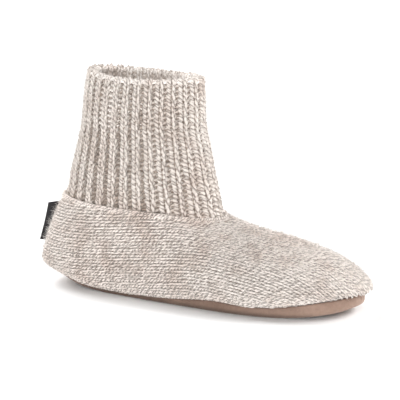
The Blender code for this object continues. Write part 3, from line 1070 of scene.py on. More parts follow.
def stitch_tree() -> Growth:
    """Build the tree that sets stitches on points with a direction, a facing and a size.

    Returns:
        The tree.
    """
    growth = Growth("stitches", {
        "Left Leg": ("Object", None), "Right Leg": ("Object", None),
        "Waver": ("Vector", (0.06, 0.06, 0.09)), "Unevenness": ("Vector", (0.06, 0.08, 0.08)),
        "Seed": ("Int", 1), "Material": ("Material", None)})
    turn = growth.node(
        "FunctionNodeAxesToRotation",
        {"Primary Axis": growth.attribute("facing"), "Secondary Axis": growth.attribute("along")},
        primary_axis="Z", secondary_axis="X")
    legs = []
    for number, key in enumerate(("Left Leg", "Right Leg")):
        seed = growth.node("ShaderNodeMath", {0: growth.given("Seed"), 1: 10.0 + number}, operation="ADD")
        waver = growth.node(
            "FunctionNodeEulerToRotation", {0: growth.random_vector(growth.given("Waver"), seed.outputs[0])})
        turned = growth.node(
            "FunctionNodeRotateRotation", {0: turn.outputs[0], 1: waver.outputs[0]}, rotation_space="LOCAL")
        uneven = growth.random_vector(growth.given("Unevenness"), seed.outputs[0])
        factor = growth.node("ShaderNodeVectorMath", {0: uneven, 1: (1.0, 1.0, 1.0)}, operation="ADD")
        size = growth.node(
            "ShaderNodeVectorMath", {0: growth.attribute("size"), 1: factor.outputs[0]}, operation="MULTIPLY")
        legs.append(growth.set_on(growth.given("Geometry"), key, turned.outputs[0], size.outputs[0]))
    growth.close(legs)
    return growth


def hair_tree() -> Growth:
    """Build the tree that grows loose fibres on a surface.

    Returns:
        The tree.
    """
    growth = Growth("loose_fibres", {
        "Hair": ("Object", None), "Hairs per Area": ("Float", 1e5),
        "Lean": ("Vector", (0.9, 0.9, 3.14159)),     # radians each way, the last a full turn
        "Seed": ("Int", 1), "Material": ("Material", None)})
    spread = growth.node("GeometryNodeDistributePointsOnFaces", {
        "Mesh": growth.given("Geometry"), "Density": growth.given("Hairs per Area"),
        "Seed": growth.given("Seed")})
    spin = growth.node(
        "FunctionNodeEulerToRotation", {0: growth.random_vector(growth.given("Lean"), growth.given("Seed"))})
    turned = growth.node(
        "FunctionNodeRotateRotation", {0: spread.outputs["Rotation"], 1: spin.outputs[0]},
        rotation_space="LOCAL")
    length = growth.node(
        "FunctionNodeRandomValue", {2: 0.5, 3: 1.35, "Seed": growth.given("Seed")}, data_type="FLOAT")
    growth.close([growth.set_on(spread.outputs[0], "Hair", turned.outputs[0], length.outputs[1])])
    return growth


# ---------------------------------------------------------------- lines of equal value on a grid
Crossing = tuple[int, int, int]      # direction of a grid's edge, and the row and column where it starts


def level_lines(values: Array, level: float) -> list[Array]:
    """Trace the lines on which a grid of values has one level.

    Args:
        values: Grid of values.
        level: The level to trace.

    Returns:
        Lines of places in the grid, as fractions of rows and columns.
    """
    above = values > level
    corners = above[:-1, :-1].astype(int) + above[1:, :-1] + above[1:, 1:] + above[:-1, 1:]
    joins: dict[Crossing, list[Crossing]] = {}
    for i, j in np.argwhere((corners > 0) & (corners < 4)):
        crossed = []
        for key, here, there in (
                ((0, i, j), above[i, j], above[i + 1, j]),
                ((1, i + 1, j), above[i + 1, j], above[i + 1, j + 1]),
                ((0, i, j + 1), above[i, j + 1], above[i + 1, j + 1]),
                ((1, i, j), above[i, j], above[i, j + 1])):
            if here != there:
                crossed.append(key)
        for first, second in zip(crossed[::2], crossed[1::2]):
            joins.setdefault(first, []).append(second)
            joins.setdefault(second, []).append(first)
    lines = []
    ends = [key for key, near in joins.items() if len(near) == 1]
    seen: set[Crossing] = set()
    for start in ends:
        if start in seen:
            continue
        line, here = [], start
        while here is not None:
            seen.add(here)
            line.append(here)
            here = next((key for key in joins[here] if key not in seen), None)
        places = []
        for kind, i, j in line:
            k, m = (i + 1, j) if kind == 0 else (i, j + 1)
            share = (level - values[i, j]) / (values[k, m] - values[i, j])
            places.append((i + share * (k - i), j + share * (m - j)))
        lines.append(np.array(places))
    return lines


def read_grid(grid: Array, places: Array) -> Array:
    """Values of a grid at fractional places, by straight interpolation.

    Args:
        grid: Rows of values by row and column.
        places: Row and column of each place.

    Returns:
        One row of values a place.
    """
    i = np.clip(places[:, 0].astype(int), 0, grid.shape[0] - 2)
    j = np.clip(places[:, 1].astype(int), 0, grid.shape[1] - 2)
    a, b = (places[:, 0] - i)[:, None], (places[:, 1] - j)[:, None]
    low = grid[i, j] * (1 - a) + grid[i + 1, j] * a
    high = grid[i, j + 1] * (1 - a) + grid[i + 1, j + 1] * a
    return low * (1 - b) + high * b


# ---------------------------------------------------------------- the knitted foot
@dataclass
class JerseyFoot:
    """The knitted foot: plain stitches in columns from heel to toe, on a ground coloured with painted shade.
    """
    wale: float = 4.7             # from one column of stitches to the next
    course: float = 2.95          # from one stitch of a column to the next
    yarn_depth: float = 0.75      # how far the yarn's middle lies under the last's surface
    ground_depth: float = 1.5
    wall: float = 3.0
    lip_radius: float = 1.9
    turned_in: float = 4.0        # how far the knit runs on inside the sole
    rays: int = 361
    top_rows: int = 110
    under_rows: int = 30
    anchor: float = 160.0         # station at which the stitches of all columns line up
    bare_rays: int = 4            # rays on each side of the woven tab that grow no fibres
    meet: float = 200.0           # station from which the columns keep their distance from the ridge
    side_levels: Rows = (         # before it, the way along the knit from the ridge to the widest line
        (0, 55), (40, 55.3), (75, 58), (110, 62.5), (145, 67), (165, 67.8), (182, 66.2))
    toe_wrap: Pair = (205.0, 50.0)     # station where columns turn round the toe, and its run
    spread_limits: Pair = (0.55, 1.35)
    reference_column: float = 9.0
    last_column: int = 39
    lip_sink: float = 0.4         # how far the roll's middle lies under the ankle seam
    lip_set: float = 0.9          # how far the roll stands out past it
    lip_span: Pair = (20.0, 215.0)     # degrees round the roll where its ground runs
    lip_columns: Pair = (38.0, 112.0)  # and where its two columns of stitches lie
    lip_size: Triple = (1.05, 0.92, 1.0)
    heel_row: FinishingRow = FinishingRow(2.2, 0.0, 2.0, 1.1, (0.75, 0.62, 0.8))
    edge_row: FinishingRow = FinishingRow(2.4, 1.2, 1.0, 0.95, (0.72, 0.62, 0.85))
    seed: int = 11

    def __post_init__(self) -> None:
        """Work out the grid of the outer surface on the +Y side."""
        self.widest = LAST.widest_side(self.rays)
        self.outward = LAST.side_normals(self.widest)
        self.points = self.side_grid(self.rays, self.top_rows, self.under_rows, self.turned_in)
        self.normals = self.facing(self.points, self.top_rows // 2)

    def facing(self, grid: Array, row: int) -> Array:
        """Normals of a grid of the +Y side, outwards.

        Args:
            grid: Points by ray and row.
            row: A row on the side of the foot.

        Returns:
            One unit vector a point.
        """
        normals = grid_normals(grid)
        return normals * np.sign(normals[len(grid) // 2, row, 1])

    def side_grid(self, rays: int, top_rows: int, under_rows: int, turned_in: float = 0.0) -> Array:
        """Points of the outer surface on the +Y side, by ray from heel to toe, down from the ankle seam.

        Args:
            rays: Number of rays.
            top_rows: Points of a ray down to the widest line.
            under_rows: Points from there under to the sole.
            turned_in: Length by which the knit runs on inside the sole.

        Returns:
            Points by ray and row.
        """
        widest, opening = LAST.widest_side(rays), LAST.opening_side(rays)
        outward = LAST.side_normals(widest)
        share = np.sin(np.linspace(0, pi / 2, top_rows))
        plan = opening[:, None] + (widest - opening)[:, None] * share[None, :, None]
        height = LAST.height(plan[..., 0], plan[..., 1])
        height[:, 0] = LAST.read("seam", opening[:, 0])
        height[:, -1] = LAST.widest_height(widest[:, 0])
        turn = np.linspace(0, LAST.under_turn, under_rows + 1)[1:]
        inward = (1 - np.cos(turn)) / (1 - np.cos(LAST.under_turn))
        down = np.sin(turn) / np.sin(LAST.under_turn)
        side, edge = LAST.widest_height(widest[:, 0]), LAST.knit_edge_height(widest[:, 0])
        tuck = LAST.read("tuck", widest[:, 0])
        under = widest[:, None] - outward[:, None] * (tuck[:, None] * inward)[..., None]
        under_height = side[:, None] - (side - edge)[:, None] * down
        rows = [np.concatenate([plan, height[..., None]], axis=-1),
                np.concatenate([under, under_height[..., None]], axis=-1)]
        if turned_in > 0:
            step = np.linspace(0, turned_in, 7)[1:]
            hidden = under[:, -1:] - outward[:, None] * step[None, :, None]
            low = np.maximum(edge[:, None] - 0.3 * step, LAST.underside(widest[:, :1]) + 1.8)
            rows.append(np.concatenate([hidden, np.minimum(low, edge[:, None])[..., None]], axis=-1))
        return np.concatenate(rows, axis=1)

    def way_down(self, x: Array, y: Array) -> Array:
        """Length of the way down the surface to the widest line.

        Args:
            x: Stations of the points to start from.
            y: Their distances from the middle.

        Returns:
            The length from each point.
        """
        shape = np.shape(x)
        x, y = np.ravel(x).astype(float), np.abs(np.ravel(y)).astype(float)
        share = np.sin(np.linspace(0, pi / 2, 160))
        half = LAST.read("half_width", x)
        across = y[:, None] + np.maximum(half - y, 0)[:, None] * share
        angle = np.arctan2(y, np.maximum(LAST.heel_centre - x, 1e-9))
        reach = np.hypot(LAST.heel_centre - x, y)
        radial = reach[:, None] + np.maximum(LAST.reach_of_heel(angle) - reach, 0)[:, None] * share
        heel = (x < LAST.heel_centre)[:, None]
        plan_x = np.where(heel, LAST.heel_centre - radial * np.cos(angle)[:, None], x[:, None])
        plan_y = np.where(heel, radial * np.sin(angle)[:, None], across)
        height = LAST.height(plan_x, plan_y)
        steps = np.sqrt(np.diff(plan_x) ** 2 + np.diff(plan_y) ** 2 + np.diff(height) ** 2)
        return steps.sum(axis=1).reshape(shape)

    def columns(self) -> Array:
        """Number the columns.

        Returns:
            The number at each point of the grid: 0 on the ridge of the instep, more towards the sole.
        """
        stations = LAST.length * np.sin(np.linspace(0, pi / 2, 400))
        girth = self.way_down(stations, np.zeros_like(stations))
        level = smooth_curve((*self.side_levels, (self.meet, float(np.interp(self.meet, stations, girth)))))

        def side_level(x: Array) -> Array:
            """Column distance of the widest line at each station."""
            return np.where(x < self.meet, read_table(level, x), np.interp(x, stations, girth))

        top = self.points[:, :self.top_rows]
        upper = side_level(top[..., 0]) - self.way_down(top[..., 0], top[..., 1])
        steps = np.linalg.norm(np.diff(self.points[:, self.top_rows - 1:], axis=1), axis=-1)
        toe = np.clip((self.widest[:, 0] - self.toe_wrap[0]) / self.toe_wrap[1], 0, 1)
        wrap = 1 - toe * (1 - np.abs(self.outward[:, 1]))
        lower = side_level(self.widest[:, 0])[:, None] + np.cumsum(steps, axis=1) * wrap[:, None]
        return np.concatenate([upper, lower], axis=1) / self.wale

    def plan_columns(self) -> StitchPlan:
        """Lay the columns of the +Y side.

        Returns:
            Their stitches.
        """
        column = self.columns()
        by_ray, by_row = np.gradient(self.points, axis=0), np.gradient(self.points, axis=1)
        up_ray, up_row = np.gradient(column, axis=0), np.gradient(column, axis=1)
        rr, rc, cc = (by_ray ** 2).sum(-1), (by_ray * by_row).sum(-1), (by_row ** 2).sum(-1)
        area = np.maximum(rr * cc - rc ** 2, 1e-9)
        part_ray = (cc * up_ray - rc * up_row) / area
        part_row = (rr * up_row - rc * up_ray) / area
        rise = by_ray * part_ray[..., None] + by_row * part_row[..., None]
        steep = np.linalg.norm(rise, axis=-1)
        along = unit(np.cross(self.normals, unit(rise)))
        if along[self.rays // 2, self.top_rows // 2, 0] < 0:
            along = -along
        spread = np.clip(1 / (np.maximum(steep, 1e-6) * self.wale), *self.spread_limits)[..., None]
        side = StitchPlan()
        reference = self.reference(column)
        for number in range(1, self.last_column + 1):
            for line in level_lines(column, float(number)):
                places, length = self.along_line(read_grid(self.points, line), line, reference)
                if len(places) == 0:
                    continue
                width = read_grid(spread, places)
                size = np.column_stack([length, width[:, 0], 0.5 + 0.5 * width[:, 0]])
                facing = unit(read_grid(self.normals, places))
                side.add(read_grid(self.points, places) - facing * self.yarn_depth,
                         unit(read_grid(along, places)), facing, size)
        return side

    def plan_ridge(self) -> StitchPlan:
        """Lay the middle column over the instep.

        Returns:
            Its stitches.
        """
        ridge = self.points[-1, 1:]
        walk = walked(ridge)
        start = np.interp(self.anchor, ridge[:self.top_rows - 2, 0], walk[:self.top_rows - 2])
        at = np.arange(start % self.course, walk[-1], self.course)
        centre = read_along(at, walk, ridge)
        towards = unit(np.gradient(centre, axis=0))
        up = unit(np.cross(towards, np.array([0, 1.0, 0])))
        up = np.where(up[:, 2:] < -0.5, -up, up)
        plan = StitchPlan()
        plan.add(centre - up * self.yarn_depth, towards, up, np.ones((len(at), 3)))
        return plan

    def reference(self, column: Array) -> Array:
        """Measure one long column, which sets the stitches of the short ones.

        Args:
            column: Column number at each point of the grid.

        Returns:
            Station and way along the column, from where all columns line up.
        """
        line = max(level_lines(column, self.reference_column), key=len)
        points = read_grid(self.points, line)
        if points[0, 0] > points[-1, 0]:
            points = points[::-1]
        walk = walked(points)
        station = np.maximum.accumulate(points[:, 0])
        return np.column_stack([station, walk - np.interp(self.anchor, station, walk)])

    def along_line(self, points: Array, line: Array, reference: Array) -> tuple[Array, Array]:
        """Places of the stitches along one column.

        Args:
            points: The column's points.
            line: The same points' places in the grid.
            reference: Station and way along the long column.

        Returns:
            Places in the grid, one for each stitch, and the stitches' lengths, 1 for a whole one.
        """
        if points[0, 0] > points[-1, 0]:
            points, line = points[::-1], line[::-1]
        walk = walked(points)
        station = np.maximum.accumulate(points[:, 0])
        if station[-1] > self.anchor > station[0]:
            start = np.interp(self.anchor, station, walk)
        else:
            end = -1 if station[-1] <= self.anchor else 0
            start = walk[end] - read_table(reference, station[end])
        at = np.arange(start % self.course, walk[-1], self.course)
        at = at[(at > 0.2 * self.course) & (at < walk[-1] - 0.4 * self.course)]
        shown = walk[line[:, 1] <= self.top_rows + self.under_rows - 1]
        if len(shown):
            at = at[(at > shown[0] - 0.3 * self.course) & (at < shown[-1] - 0.3 * self.course)]
        length = np.clip((shown[-1] - at) / self.course, 0.4, 1.0) if len(shown) else np.ones(len(at))
        return read_along(at, walk, line), length

    def lip(self, around: int, turns: Array, depth: float) -> Array:
        """Points of the rolled edge over the ankle seam.

        Args:
            around: Number of points round the seam.
            turns: Angles of the roll, 0 facing outwards, a right angle up and pi inwards.
            depth: How far under the roll's surface they lie.

        Returns:
            Points by turn and place round the seam, from the back along the +Y side.
        """
        angle = 2 * pi * np.arange(around) / around
        plan = LAST.opening(angle)
        out = unit(np.column_stack([
            -np.cos(angle) / (LAST.opening_length / 2), np.sin(angle) / (LAST.opening_width / 2)]))
        height = LAST.read("seam", plan[:, 0])
        radius = self.lip_radius - depth
        middle = plan - out * (self.lip_radius - self.lip_set)
        base = height - self.lip_sink
        return np.array([np.column_stack([middle + out * radius * np.cos(turn), base + radius * np.sin(turn)])
                         for turn in turns])

    def plan_lip(self) -> StitchPlan:
        """Lay two columns of stitches along the rolled edge.

        Returns:
            Their stitches.
        """
        plan = StitchPlan()
        walk = walked(self.lip(FINE + 1, np.array([0.0]), 0.0)[0])
        count = int(round(walk[-1] / self.course))
        for degrees in self.lip_columns:
            turn = np.array([radians(degrees)])
            ring = self.lip(FINE, turn, self.yarn_depth)[0]
            inner = self.lip(FINE, turn, self.yarn_depth + 0.5)[0]
            at = np.arange(count) * walk[-1] / count
            pick = np.interp(at, walk, np.arange(FINE + 1)).astype(int) % FINE
            place = ring[pick]
            along = unit(ring[(pick + 2) % FINE] - ring[(pick - 2) % FINE])
            plan.add(place, along, unit(place - inner[pick]), np.tile(self.lip_size, (count, 1)))
        return plan

    def plan_seam(self) -> StitchPlan:
        """Lay the row of small stitches that closes the knit down the middle of the heel."""
        shown = slice(4, self.top_rows + self.under_rows)
        return self.heel_row.plan(self.points[0, shown], self.normals[0, shown] * (1, 0, 1))

    def plan_edge(self) -> StitchPlan:
        """Lay the row of small stitches that finishes the knit along the sole."""
        row = self.top_rows + self.under_rows - 1
        return self.edge_row.plan(self.points[:, row], self.normals[:, row])

    def fabric(self) -> Piece:
        """The ground under the stitches: a closed wall with a rolled edge.

        Returns:
            The ground as one closed mesh.
        """
        rays, top_rows, under_rows = 141, 36, 10
        half = self.side_grid(rays, top_rows, under_rows)
        normals = self.facing(half, top_rows // 2)
        normals[[0, -1], :, 1] = 0
        normals = unit(normals)
        outer = round_trip(half - normals * self.ground_depth)
        inner = round_trip(half - normals * self.wall)
        seam_plan = LAST.opening_side(rays)
        angle = np.arctan2(seam_plan[:, 1] / (LAST.opening_width / 2),
                           -(seam_plan[:, 0] - LAST.opening_centre) / (LAST.opening_length / 2))
        angle = np.concatenate([angle, 2 * pi - angle[-2:0:-1]])
        turns = np.linspace(*(radians(degrees) for degrees in self.lip_span), 8)
        dense = self.lip(FINE, turns, self.yarn_depth)
        pick = np.round(angle / (2 * pi) * FINE).astype(int) % FINE
        rows = np.concatenate([
            np.swapaxes(inner, 0, 1)[::-1], dense[::-1, pick], np.swapaxes(outer, 0, 1)[1:]], axis=0)
        faces = loft_faces(len(rows), outer.shape[0], True, True)
        return make_mesh("foot_fabric", rows, faces, closed=True)

    def surface(self) -> Piece:
        """The open outer surface for loose fibres to grow on, without a strip beside the woven tab.

        Returns:
            The surface, its faces outwards.
        """
        half = self.side_grid(rays=61, top_rows=24, under_rows=6)[:, :-3]    # ends a little over the sole
        rows = np.swapaxes(round_trip(half), 0, 1)
        rays = rows.shape[1]
        beside = {ray % rays for ray in range(-self.bare_rays, self.bare_rays + 1)}
        faces = [face for face in loft_faces(len(rows), rays, False, True)
                 if not {corner % rays for corner in face} <= beside]
        return make_mesh("foot_surface", rows, faces)

    def build(self, stitches: Growth) -> None:
        """Make the foot's ground and its stitches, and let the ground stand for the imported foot.

        Args:
            stitches: The tree that sets stitches.
        """
        yarn = RaggYarn("ragg_wool").material()
        # the ground's taupe is darker than the wool: painted shade between the stitches
        ground = GroundKnit("wool_jersey_ground").material()
        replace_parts(dress(self.fabric(), ground), "foot")
        leg = StitchLeg(course=self.course, foot_spread=0.55, head_spread=1.75, radius=0.98)
        legs = leg.pair()
        side, edge = self.plan_columns(), self.plan_edge()
        plans = {"foot_stitches_left": side, "foot_stitches_right": side.mirrored(),
                 "foot_stitches_middle": self.plan_ridge(), "foot_lip_stitches": self.plan_lip(),
                 "foot_seam_stitches": self.plan_seam(), "foot_edge_left": edge,
                 "foot_edge_right": edge.mirrored()}
        for number, (name, plan) in enumerate(plans.items()):
            values = {**legs, "Material": yarn, "Seed": self.seed + number}
            dress(stitches.grow(name, plan.points(name + "_points"), values), yarn)
        for helper in legs.values():
            bpy.data.objects.remove(helper)


# ---------------------------------------------------------------- the ribbed cuff
class Zone(Enum):
    """The zones of the cuff, each with its own stitches."""
    RIB = "cuff_rib_stitches"
    FURROW = "cuff_furrow_stitches"
    FRONT = "cuff_front_stitches"
    LINING = "cuff_lining_stitches"
    FOLD = "cuff_fold_stitches"


@dataclass
class RibCuff:
    """The cuff: one-by-one rib that runs up, folds over at the collar and runs down inside."""
    ribs: int = 28
    per_rib: int = 12
    course: float = 3.8
    rim_course: float = 2.7       # shorter where the cuff folds over
    gauge: float = 9.3            # width of one rib that the stitches are drawn for
    collar_height: float = 163.8
    collar_tilt: float = 1.2      # the collar is higher behind by this much
    collar_wave: float = 1.3      # and dips at its sides by this much
    pinch: float = 0.3            # how much narrower the collar is in front
    collar_lean: float = 1.1      # and is higher on its left side by this much
    rim_radius: float = 2.9
    fold: float = 1.7             # how much fuller the fold is behind and in front
    furrow: float = 1.9           # depth of the furrows down the middle of each side
    slack: float = 0.8            # how much deeper they are behind, and shallower in front
    snug: float = 0.94            # width of the stitches, as a share of their room
    stretch: float = 0.26         # how much wider they are in front, where the ribs are stretched
    flat_front: float = 0.17      # share of the way round, each way from the front, with shallow furrows
    hem: float = 4.0              # length hidden inside the foot's rolled edge
    hem_inset: float = 0.9        # how far further in it ends
    inside: float = 34.0          # length of stitches that show inside
    slip: float = 0.25            # share of a course by which one rib's stitches sit higher than another's
    yarn_depth: float = 0.9
    fuzz_depth: float = 0.4       # how far under the surface the loose fibres are rooted
    ground_depth: float = 1.7
    seed: int = 23
    waver: Triple = (0.09, 0.09, 0.14)
    unevenness: Triple = (0.1, 0.12, 0.1)
    wools: tuple[RaggYarn, ...] = (
        # the rib's cream is darker than the foot's: painted shade on the same wool
        RaggYarn("ragg_wool_rib", shade(219, 210, 203), shade(115, 101, 91), twist=0.3),
        # the furrows' bumps in a darker copy of the wool: painted shade in the furrows
        RaggYarn("ragg_wool_furrow", shade(164, 149, 137), shade(78, 66, 57), twist=0.3),
        # the shallow front furrows' bumps in a copy a little less dark: painted shade
        RaggYarn("ragg_wool_front", shade(193, 181, 172), shade(90, 78, 68), twist=0.3),
        # the fold over the collar and the lining in a paler copy of the wool: painted light where light falls
        # in over the collar
        RaggYarn("ragg_wool_brushed", shade(246, 240, 235), shade(182, 169, 159), twist=0.3))
    profile: Rows = (             # share of the way up, centre, half length, half width, depth of furrows
        (0.00, 85.9, 65.9, 33.2, 0.5), (0.25, 85.6, 60.1, 32.6, 0.75), (0.50, 86.3, 53.9, 32.0, 1.0),
        (0.65, 86.1, 51.1, 31.5, 1.0), (0.85, 86.85, 49.85, 30.6, 1.0), (0.94, 87.6, 48.9, 30.2, 0.75),
        (1.00, 88.1, 48.2, 30.0, 0.25))

    def column(self, number: int, rise: Array) -> Array:
        """One column of the profile: 1 centre, 2 half length, 3 half width, 4 depth of the furrows."""
        return read_table(smooth_curve(tuple((row[0], row[number]) for row in self.profile)), rise)

    def ring(self, rise: float, inset: Array | float, count: int) -> tuple[Array, Array]:
        """One ring of the cuff, with its points at even shares of the way round.

        Args:
            rise: Share of the way up.
            inset: How far inside the outer surface it runs.
            count: Number of points, from the back along the -Y side.

        Returns:
            Plan points, and the angle of each.
        """
        fine = np.linspace(0, 2 * pi, FINE + 1)
        taper = 1 - self.pinch * max(rise, 0) ** 2 * ((1 - np.cos(fine)) / 2) ** 1.5
        x = self.column(1, rise) - self.column(2, rise) * np.cos(fine)
        y = -self.column(3, rise) * np.sin(fine) * taper
        out = unit(np.column_stack([np.gradient(y), -np.gradient(x)]))
        out = -out if out[FINE // 2, 0] < 0 else out
        out[0] = out[-1] = (-1.0, 0.0)
        line = np.column_stack([x, y])
        walk = walked(line)
        at = np.arange(count) / count * walk[-1]
        plan = read_along(at, walk, line) - unit(read_along(at, walk, out)) * np.reshape(inset, (-1, 1))
        return plan, np.interp(at, walk, fine)

    def height(self, rise: float, angle: Array) -> Array:
        """Height at a share of the way up, between the ankle seam and the collar.

        Args:
            rise: Share of the way up.
            angle: Angle round the cuff, 0 at the back.

        Returns:
            The height at each angle.
        """
        foot = LAST.read("seam", LAST.opening_centre - LAST.opening_length / 2 * np.cos(angle)) + 0.9
        collar = self.collar_height + self.collar_tilt * np.cos(angle) + self.collar_wave * np.cos(2 * angle)
        collar = collar + self.collar_lean * (0.5 - 0.5 * np.sin(angle))
        return foot + (collar - foot) * rise

    def sheet(self, count: int, outer_rows: int, rim_rows: int, inner_rows: int) -> tuple[Array, Array]:
        """The cuff's middle surface, without its ribs.

        Args:
            count: Number of points round a ring.
            outer_rows: Rings from the hem up to the rim.
            rim_rows: Rings over the rim.
            inner_rows: Rings down the inside.

        Returns:
            Points by ring, from the hem outside to the hem inside, and each ring's share of the way up.
        """
        span = self.collar_height - LAST.ankle_height
        top = 1 - self.rim_radius / span
        rows, rises = [], []

        def add_ring(rise: float, inset: Array | float, lift: float, share: float) -> None:
            """Add a ring.

            Args:
                rise: Share of the way up at which it starts.
                inset: How far it is set in.
                lift: How far it is lifted from there.
                share: Share of the way up that it counts as.
            """
            plan, angle = self.ring(rise, inset, count)
            rows.append(np.column_stack([plan, self.height(rise, angle) + lift]))
            rises.append(share)

        for rise in np.linspace(-self.hem / span, top, outer_rows):
            hidden = float(np.clip(-rise * span / self.hem, 0, 1))
            add_ring(rise, self.hem_inset * hidden, 0.0, max(rise, 0.0))
        roll = self.rim_radius + self.fold * np.cos(self.ring(top, 0.0, count)[1]) ** 2
        for turn in np.linspace(0, pi, rim_rows + 2)[1:-1]:
            add_ring(top, roll * (1 - np.cos(turn)), self.rim_radius * np.sin(turn), 1.0)
        for rise in np.linspace(top, 0.0, inner_rows):
            add_ring(rise, 2 * roll, 0.0, rise)
        return np.array(rows), np.array(rises)

    def furrow_depth(self, rise: Array, share: Array) -> Array:
        """Depth of the furrows.

        Args:
            rise: Share of the way up.
            share: Share of the way round, 0 at the back and a half in front.

        Returns:
            The depth in millimetres.
        """
        return self.furrow * self.column(4, rise) * (1 + self.slack * np.cos(2 * pi * share))

    def outward(self, rows: Array) -> Array:
        """Normals of the cuff's surface, away from the wall's middle.

        Args:
            rows: Points by ring.

        Returns:
            One unit vector a point.
        """
        normals = grid_normals(rows, closed=True)
        return -normals if normals[2, 0, 0] > 0 else normals

    def fabric(self, materials: tuple[Material, Material]) -> Piece:
        """The ribbed ground under the stitches: a closed double wall.

        Args:
            materials: The outside's finish, with painted shade, and the lining's, with painted light.

        Returns:
            The ground as one closed mesh.
        """
        count, outer, over, inner = self.ribs * self.per_rib, 30, 9, 26
        rows, rises = self.sheet(count, outer, over, inner)
        normals = self.outward(rows)
        around = np.arange(count)
        rib = 0.5 - 0.5 * np.cos(2 * pi * around / self.per_rib)
        depth = self.furrow_depth(rises[:, None], around[None] / count)
        inside = np.arange(len(rows)) >= outer + over
        depth = np.where(inside[:, None], depth * 0.5, depth)
        rows = rows - normals * (self.ground_depth * 0.8 + depth * rib)[..., None]
        piece = make_mesh("cuff_fabric", rows, loft_faces(len(rows), count, True, True), closed=True)
        for material in materials:
            piece.data.materials.append(material)
        for face in piece.data.polygons:
            ring = max(face.vertices) // count
            face.material_index = int(ring > outer + over // 2 and min(face.vertices) >= count)
        return piece

    def plan_ribs(self) -> dict[Zone, StitchPlan]:
        """Lay the stitches of the ribs and the bumps of the furrows.

        Returns:
            A plan for each zone of the cuff.
        """
        per_rib, outer, over, inner = 4, 60, 15, 50
        rows, rises = self.sheet(self.ribs * per_rib, outer, over, inner)
        normals = self.outward(rows)
        plans = {zone: StitchPlan() for zone in Zone}
        crest = outer + over // 2
        slip = np.random.default_rng(self.seed).uniform(-self.slip, self.slip, self.ribs)
        for number in range(self.ribs):
            for shift, zone, folded in ((0, Zone.RIB, Zone.LINING), (per_rib // 2, Zone.FURROW, Zone.FOLD)):
                c = number * per_rib + shift
                round_share = c / rows.shape[1]
                walk = walked(rows[:, c])
                pitch = np.full(len(walk), self.course)
                pitch[outer - 1:outer + over + 1] = self.rim_course
                count = np.concatenate([[0], np.cumsum(2 * np.diff(walk) / (pitch[1:] + pitch[:-1]))])
                count -= count[crest] + 0.5 * (shift > 0) + slip[number]
                end = np.interp(walk[outer + over] + self.inside, walk, count)
                at = np.interp(np.arange(np.ceil(count[0]), end), count, walk)
                place, ahead = read_along(at, walk, rows[:, c]), read_along(at + 0.5, walk, rows[:, c])
                facing = unit(read_along(at, walk, normals[:, c]))
                rise = np.interp(at, walk, rises)
                left, right = rows[:, c - per_rib // 2], rows[:, (c + per_rib // 2) % rows.shape[1]]
                width = np.interp(at, walk, np.linalg.norm(right - left, axis=-1)) / self.gauge
                width *= self.snug - self.stretch * np.cos(2 * pi * round_share)
                length = np.interp(at, walk, pitch) / self.course
                if zone is Zone.RIB:
                    depth = np.full(len(at), self.yarn_depth)
                    size = np.column_stack([length, width, 0.4 + 0.6 * width])
                else:
                    depth = self.yarn_depth + 0.1 + 0.85 * self.furrow_depth(rise, round_share)
                    size = np.column_stack([0.5 + 0.5 * length, width, np.ones(len(at))])
                turn = walk[outer + over // 2] if zone is Zone.RIB else walk[outer - 1] - 1.5
                if zone is Zone.FURROW and abs(round_share - 0.5) < self.flat_front:
                    zone = Zone.FRONT
                within = at > turn
                parts = (place - facing * depth[:, None], unit(ahead - place), facing, size)
                plans[zone].add(*(part[~within] for part in parts))
                plans[folded].add(*(part[within] for part in parts))
        return plans

    def surface(self) -> Piece:
        """The open surface, outside, over the rim and a little way in, for loose fibres to grow on.

        Returns:
            The surface, its faces outwards.
        """
        count = 4 * self.ribs
        rows = self.sheet(count, outer_rows=20, rim_rows=5, inner_rows=4)[0][2:-2]
        rows = rows - self.outward(rows) * self.fuzz_depth
        return make_mesh("cuff_surface", rows, loft_faces(len(rows), count, False, True))

    def build(self, stitches: Growth) -> None:
        """Make the cuff's ground, its ribs and the bumps in its furrows.

        Args:
            stitches: The tree that sets stitches.
        """
        # the rib's ground is darker still: painted shade in the furrows; the lining's is paler: painted light
        # inside the cuff
        ground = GroundKnit("wool_rib_ground", shade(158, 145, 134), shade(98, 86, 77)).material()
        lining = GroundKnit("wool_lining_ground", shade(207, 197, 188), shade(176, 164, 154)).material()
        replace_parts(dress(self.fabric((ground, lining)), ground), "cuff")
        leg = StitchLeg(course=self.course, foot_spread=0.8, head_spread=2.65, radius=1.3, drop=0.12)
        legs = leg.pair()
        bump = {"Left Leg": PurlBump().object()}
        wools = {wool.name: wool.material() for wool in self.wools}
        given = {Zone.RIB: ("ragg_wool_rib", legs), Zone.FURROW: ("ragg_wool_furrow", bump),
                 Zone.FRONT: ("ragg_wool_front", bump), Zone.LINING: ("ragg_wool_brushed", legs),
                 Zone.FOLD: ("ragg_wool_brushed", bump)}
        for number, (zone, plan) in enumerate(self.plan_ribs().items()):
            wool, forms = wools[given[zone][0]], given[zone][1]
            values = {**forms, "Material": wool, "Seed": self.seed + number, "Waver": self.waver,
                      "Unevenness": self.unevenness}
            dress(stitches.grow(zone.value, plan.points(zone.value + "_points"), values), wool)
        for helper in (*legs.values(), *bump.values()):
            bpy.data.objects.remove(helper)


# ---------------------------------------------------------------- sole, insole and tab
def knit_edge_line(rays: int, extra: Array | float = 0.0) -> Array:
    """Plan line all the way round where the knit meets the sole.

    Args:
        rays: Number of points on each side.
        extra: How far further out it lies.

    Returns:
        One plan point a row, from the heel along the +Y side.
    """
    side = LAST.widest_side(rays)
    normal = LAST.side_normals(side)
    moved = side - normal * (LAST.read("tuck", side[:, 0]) - extra)[:, None]
    moved[0, 1] = moved[-1, 1] = 0.0
    return round_trip(moved)


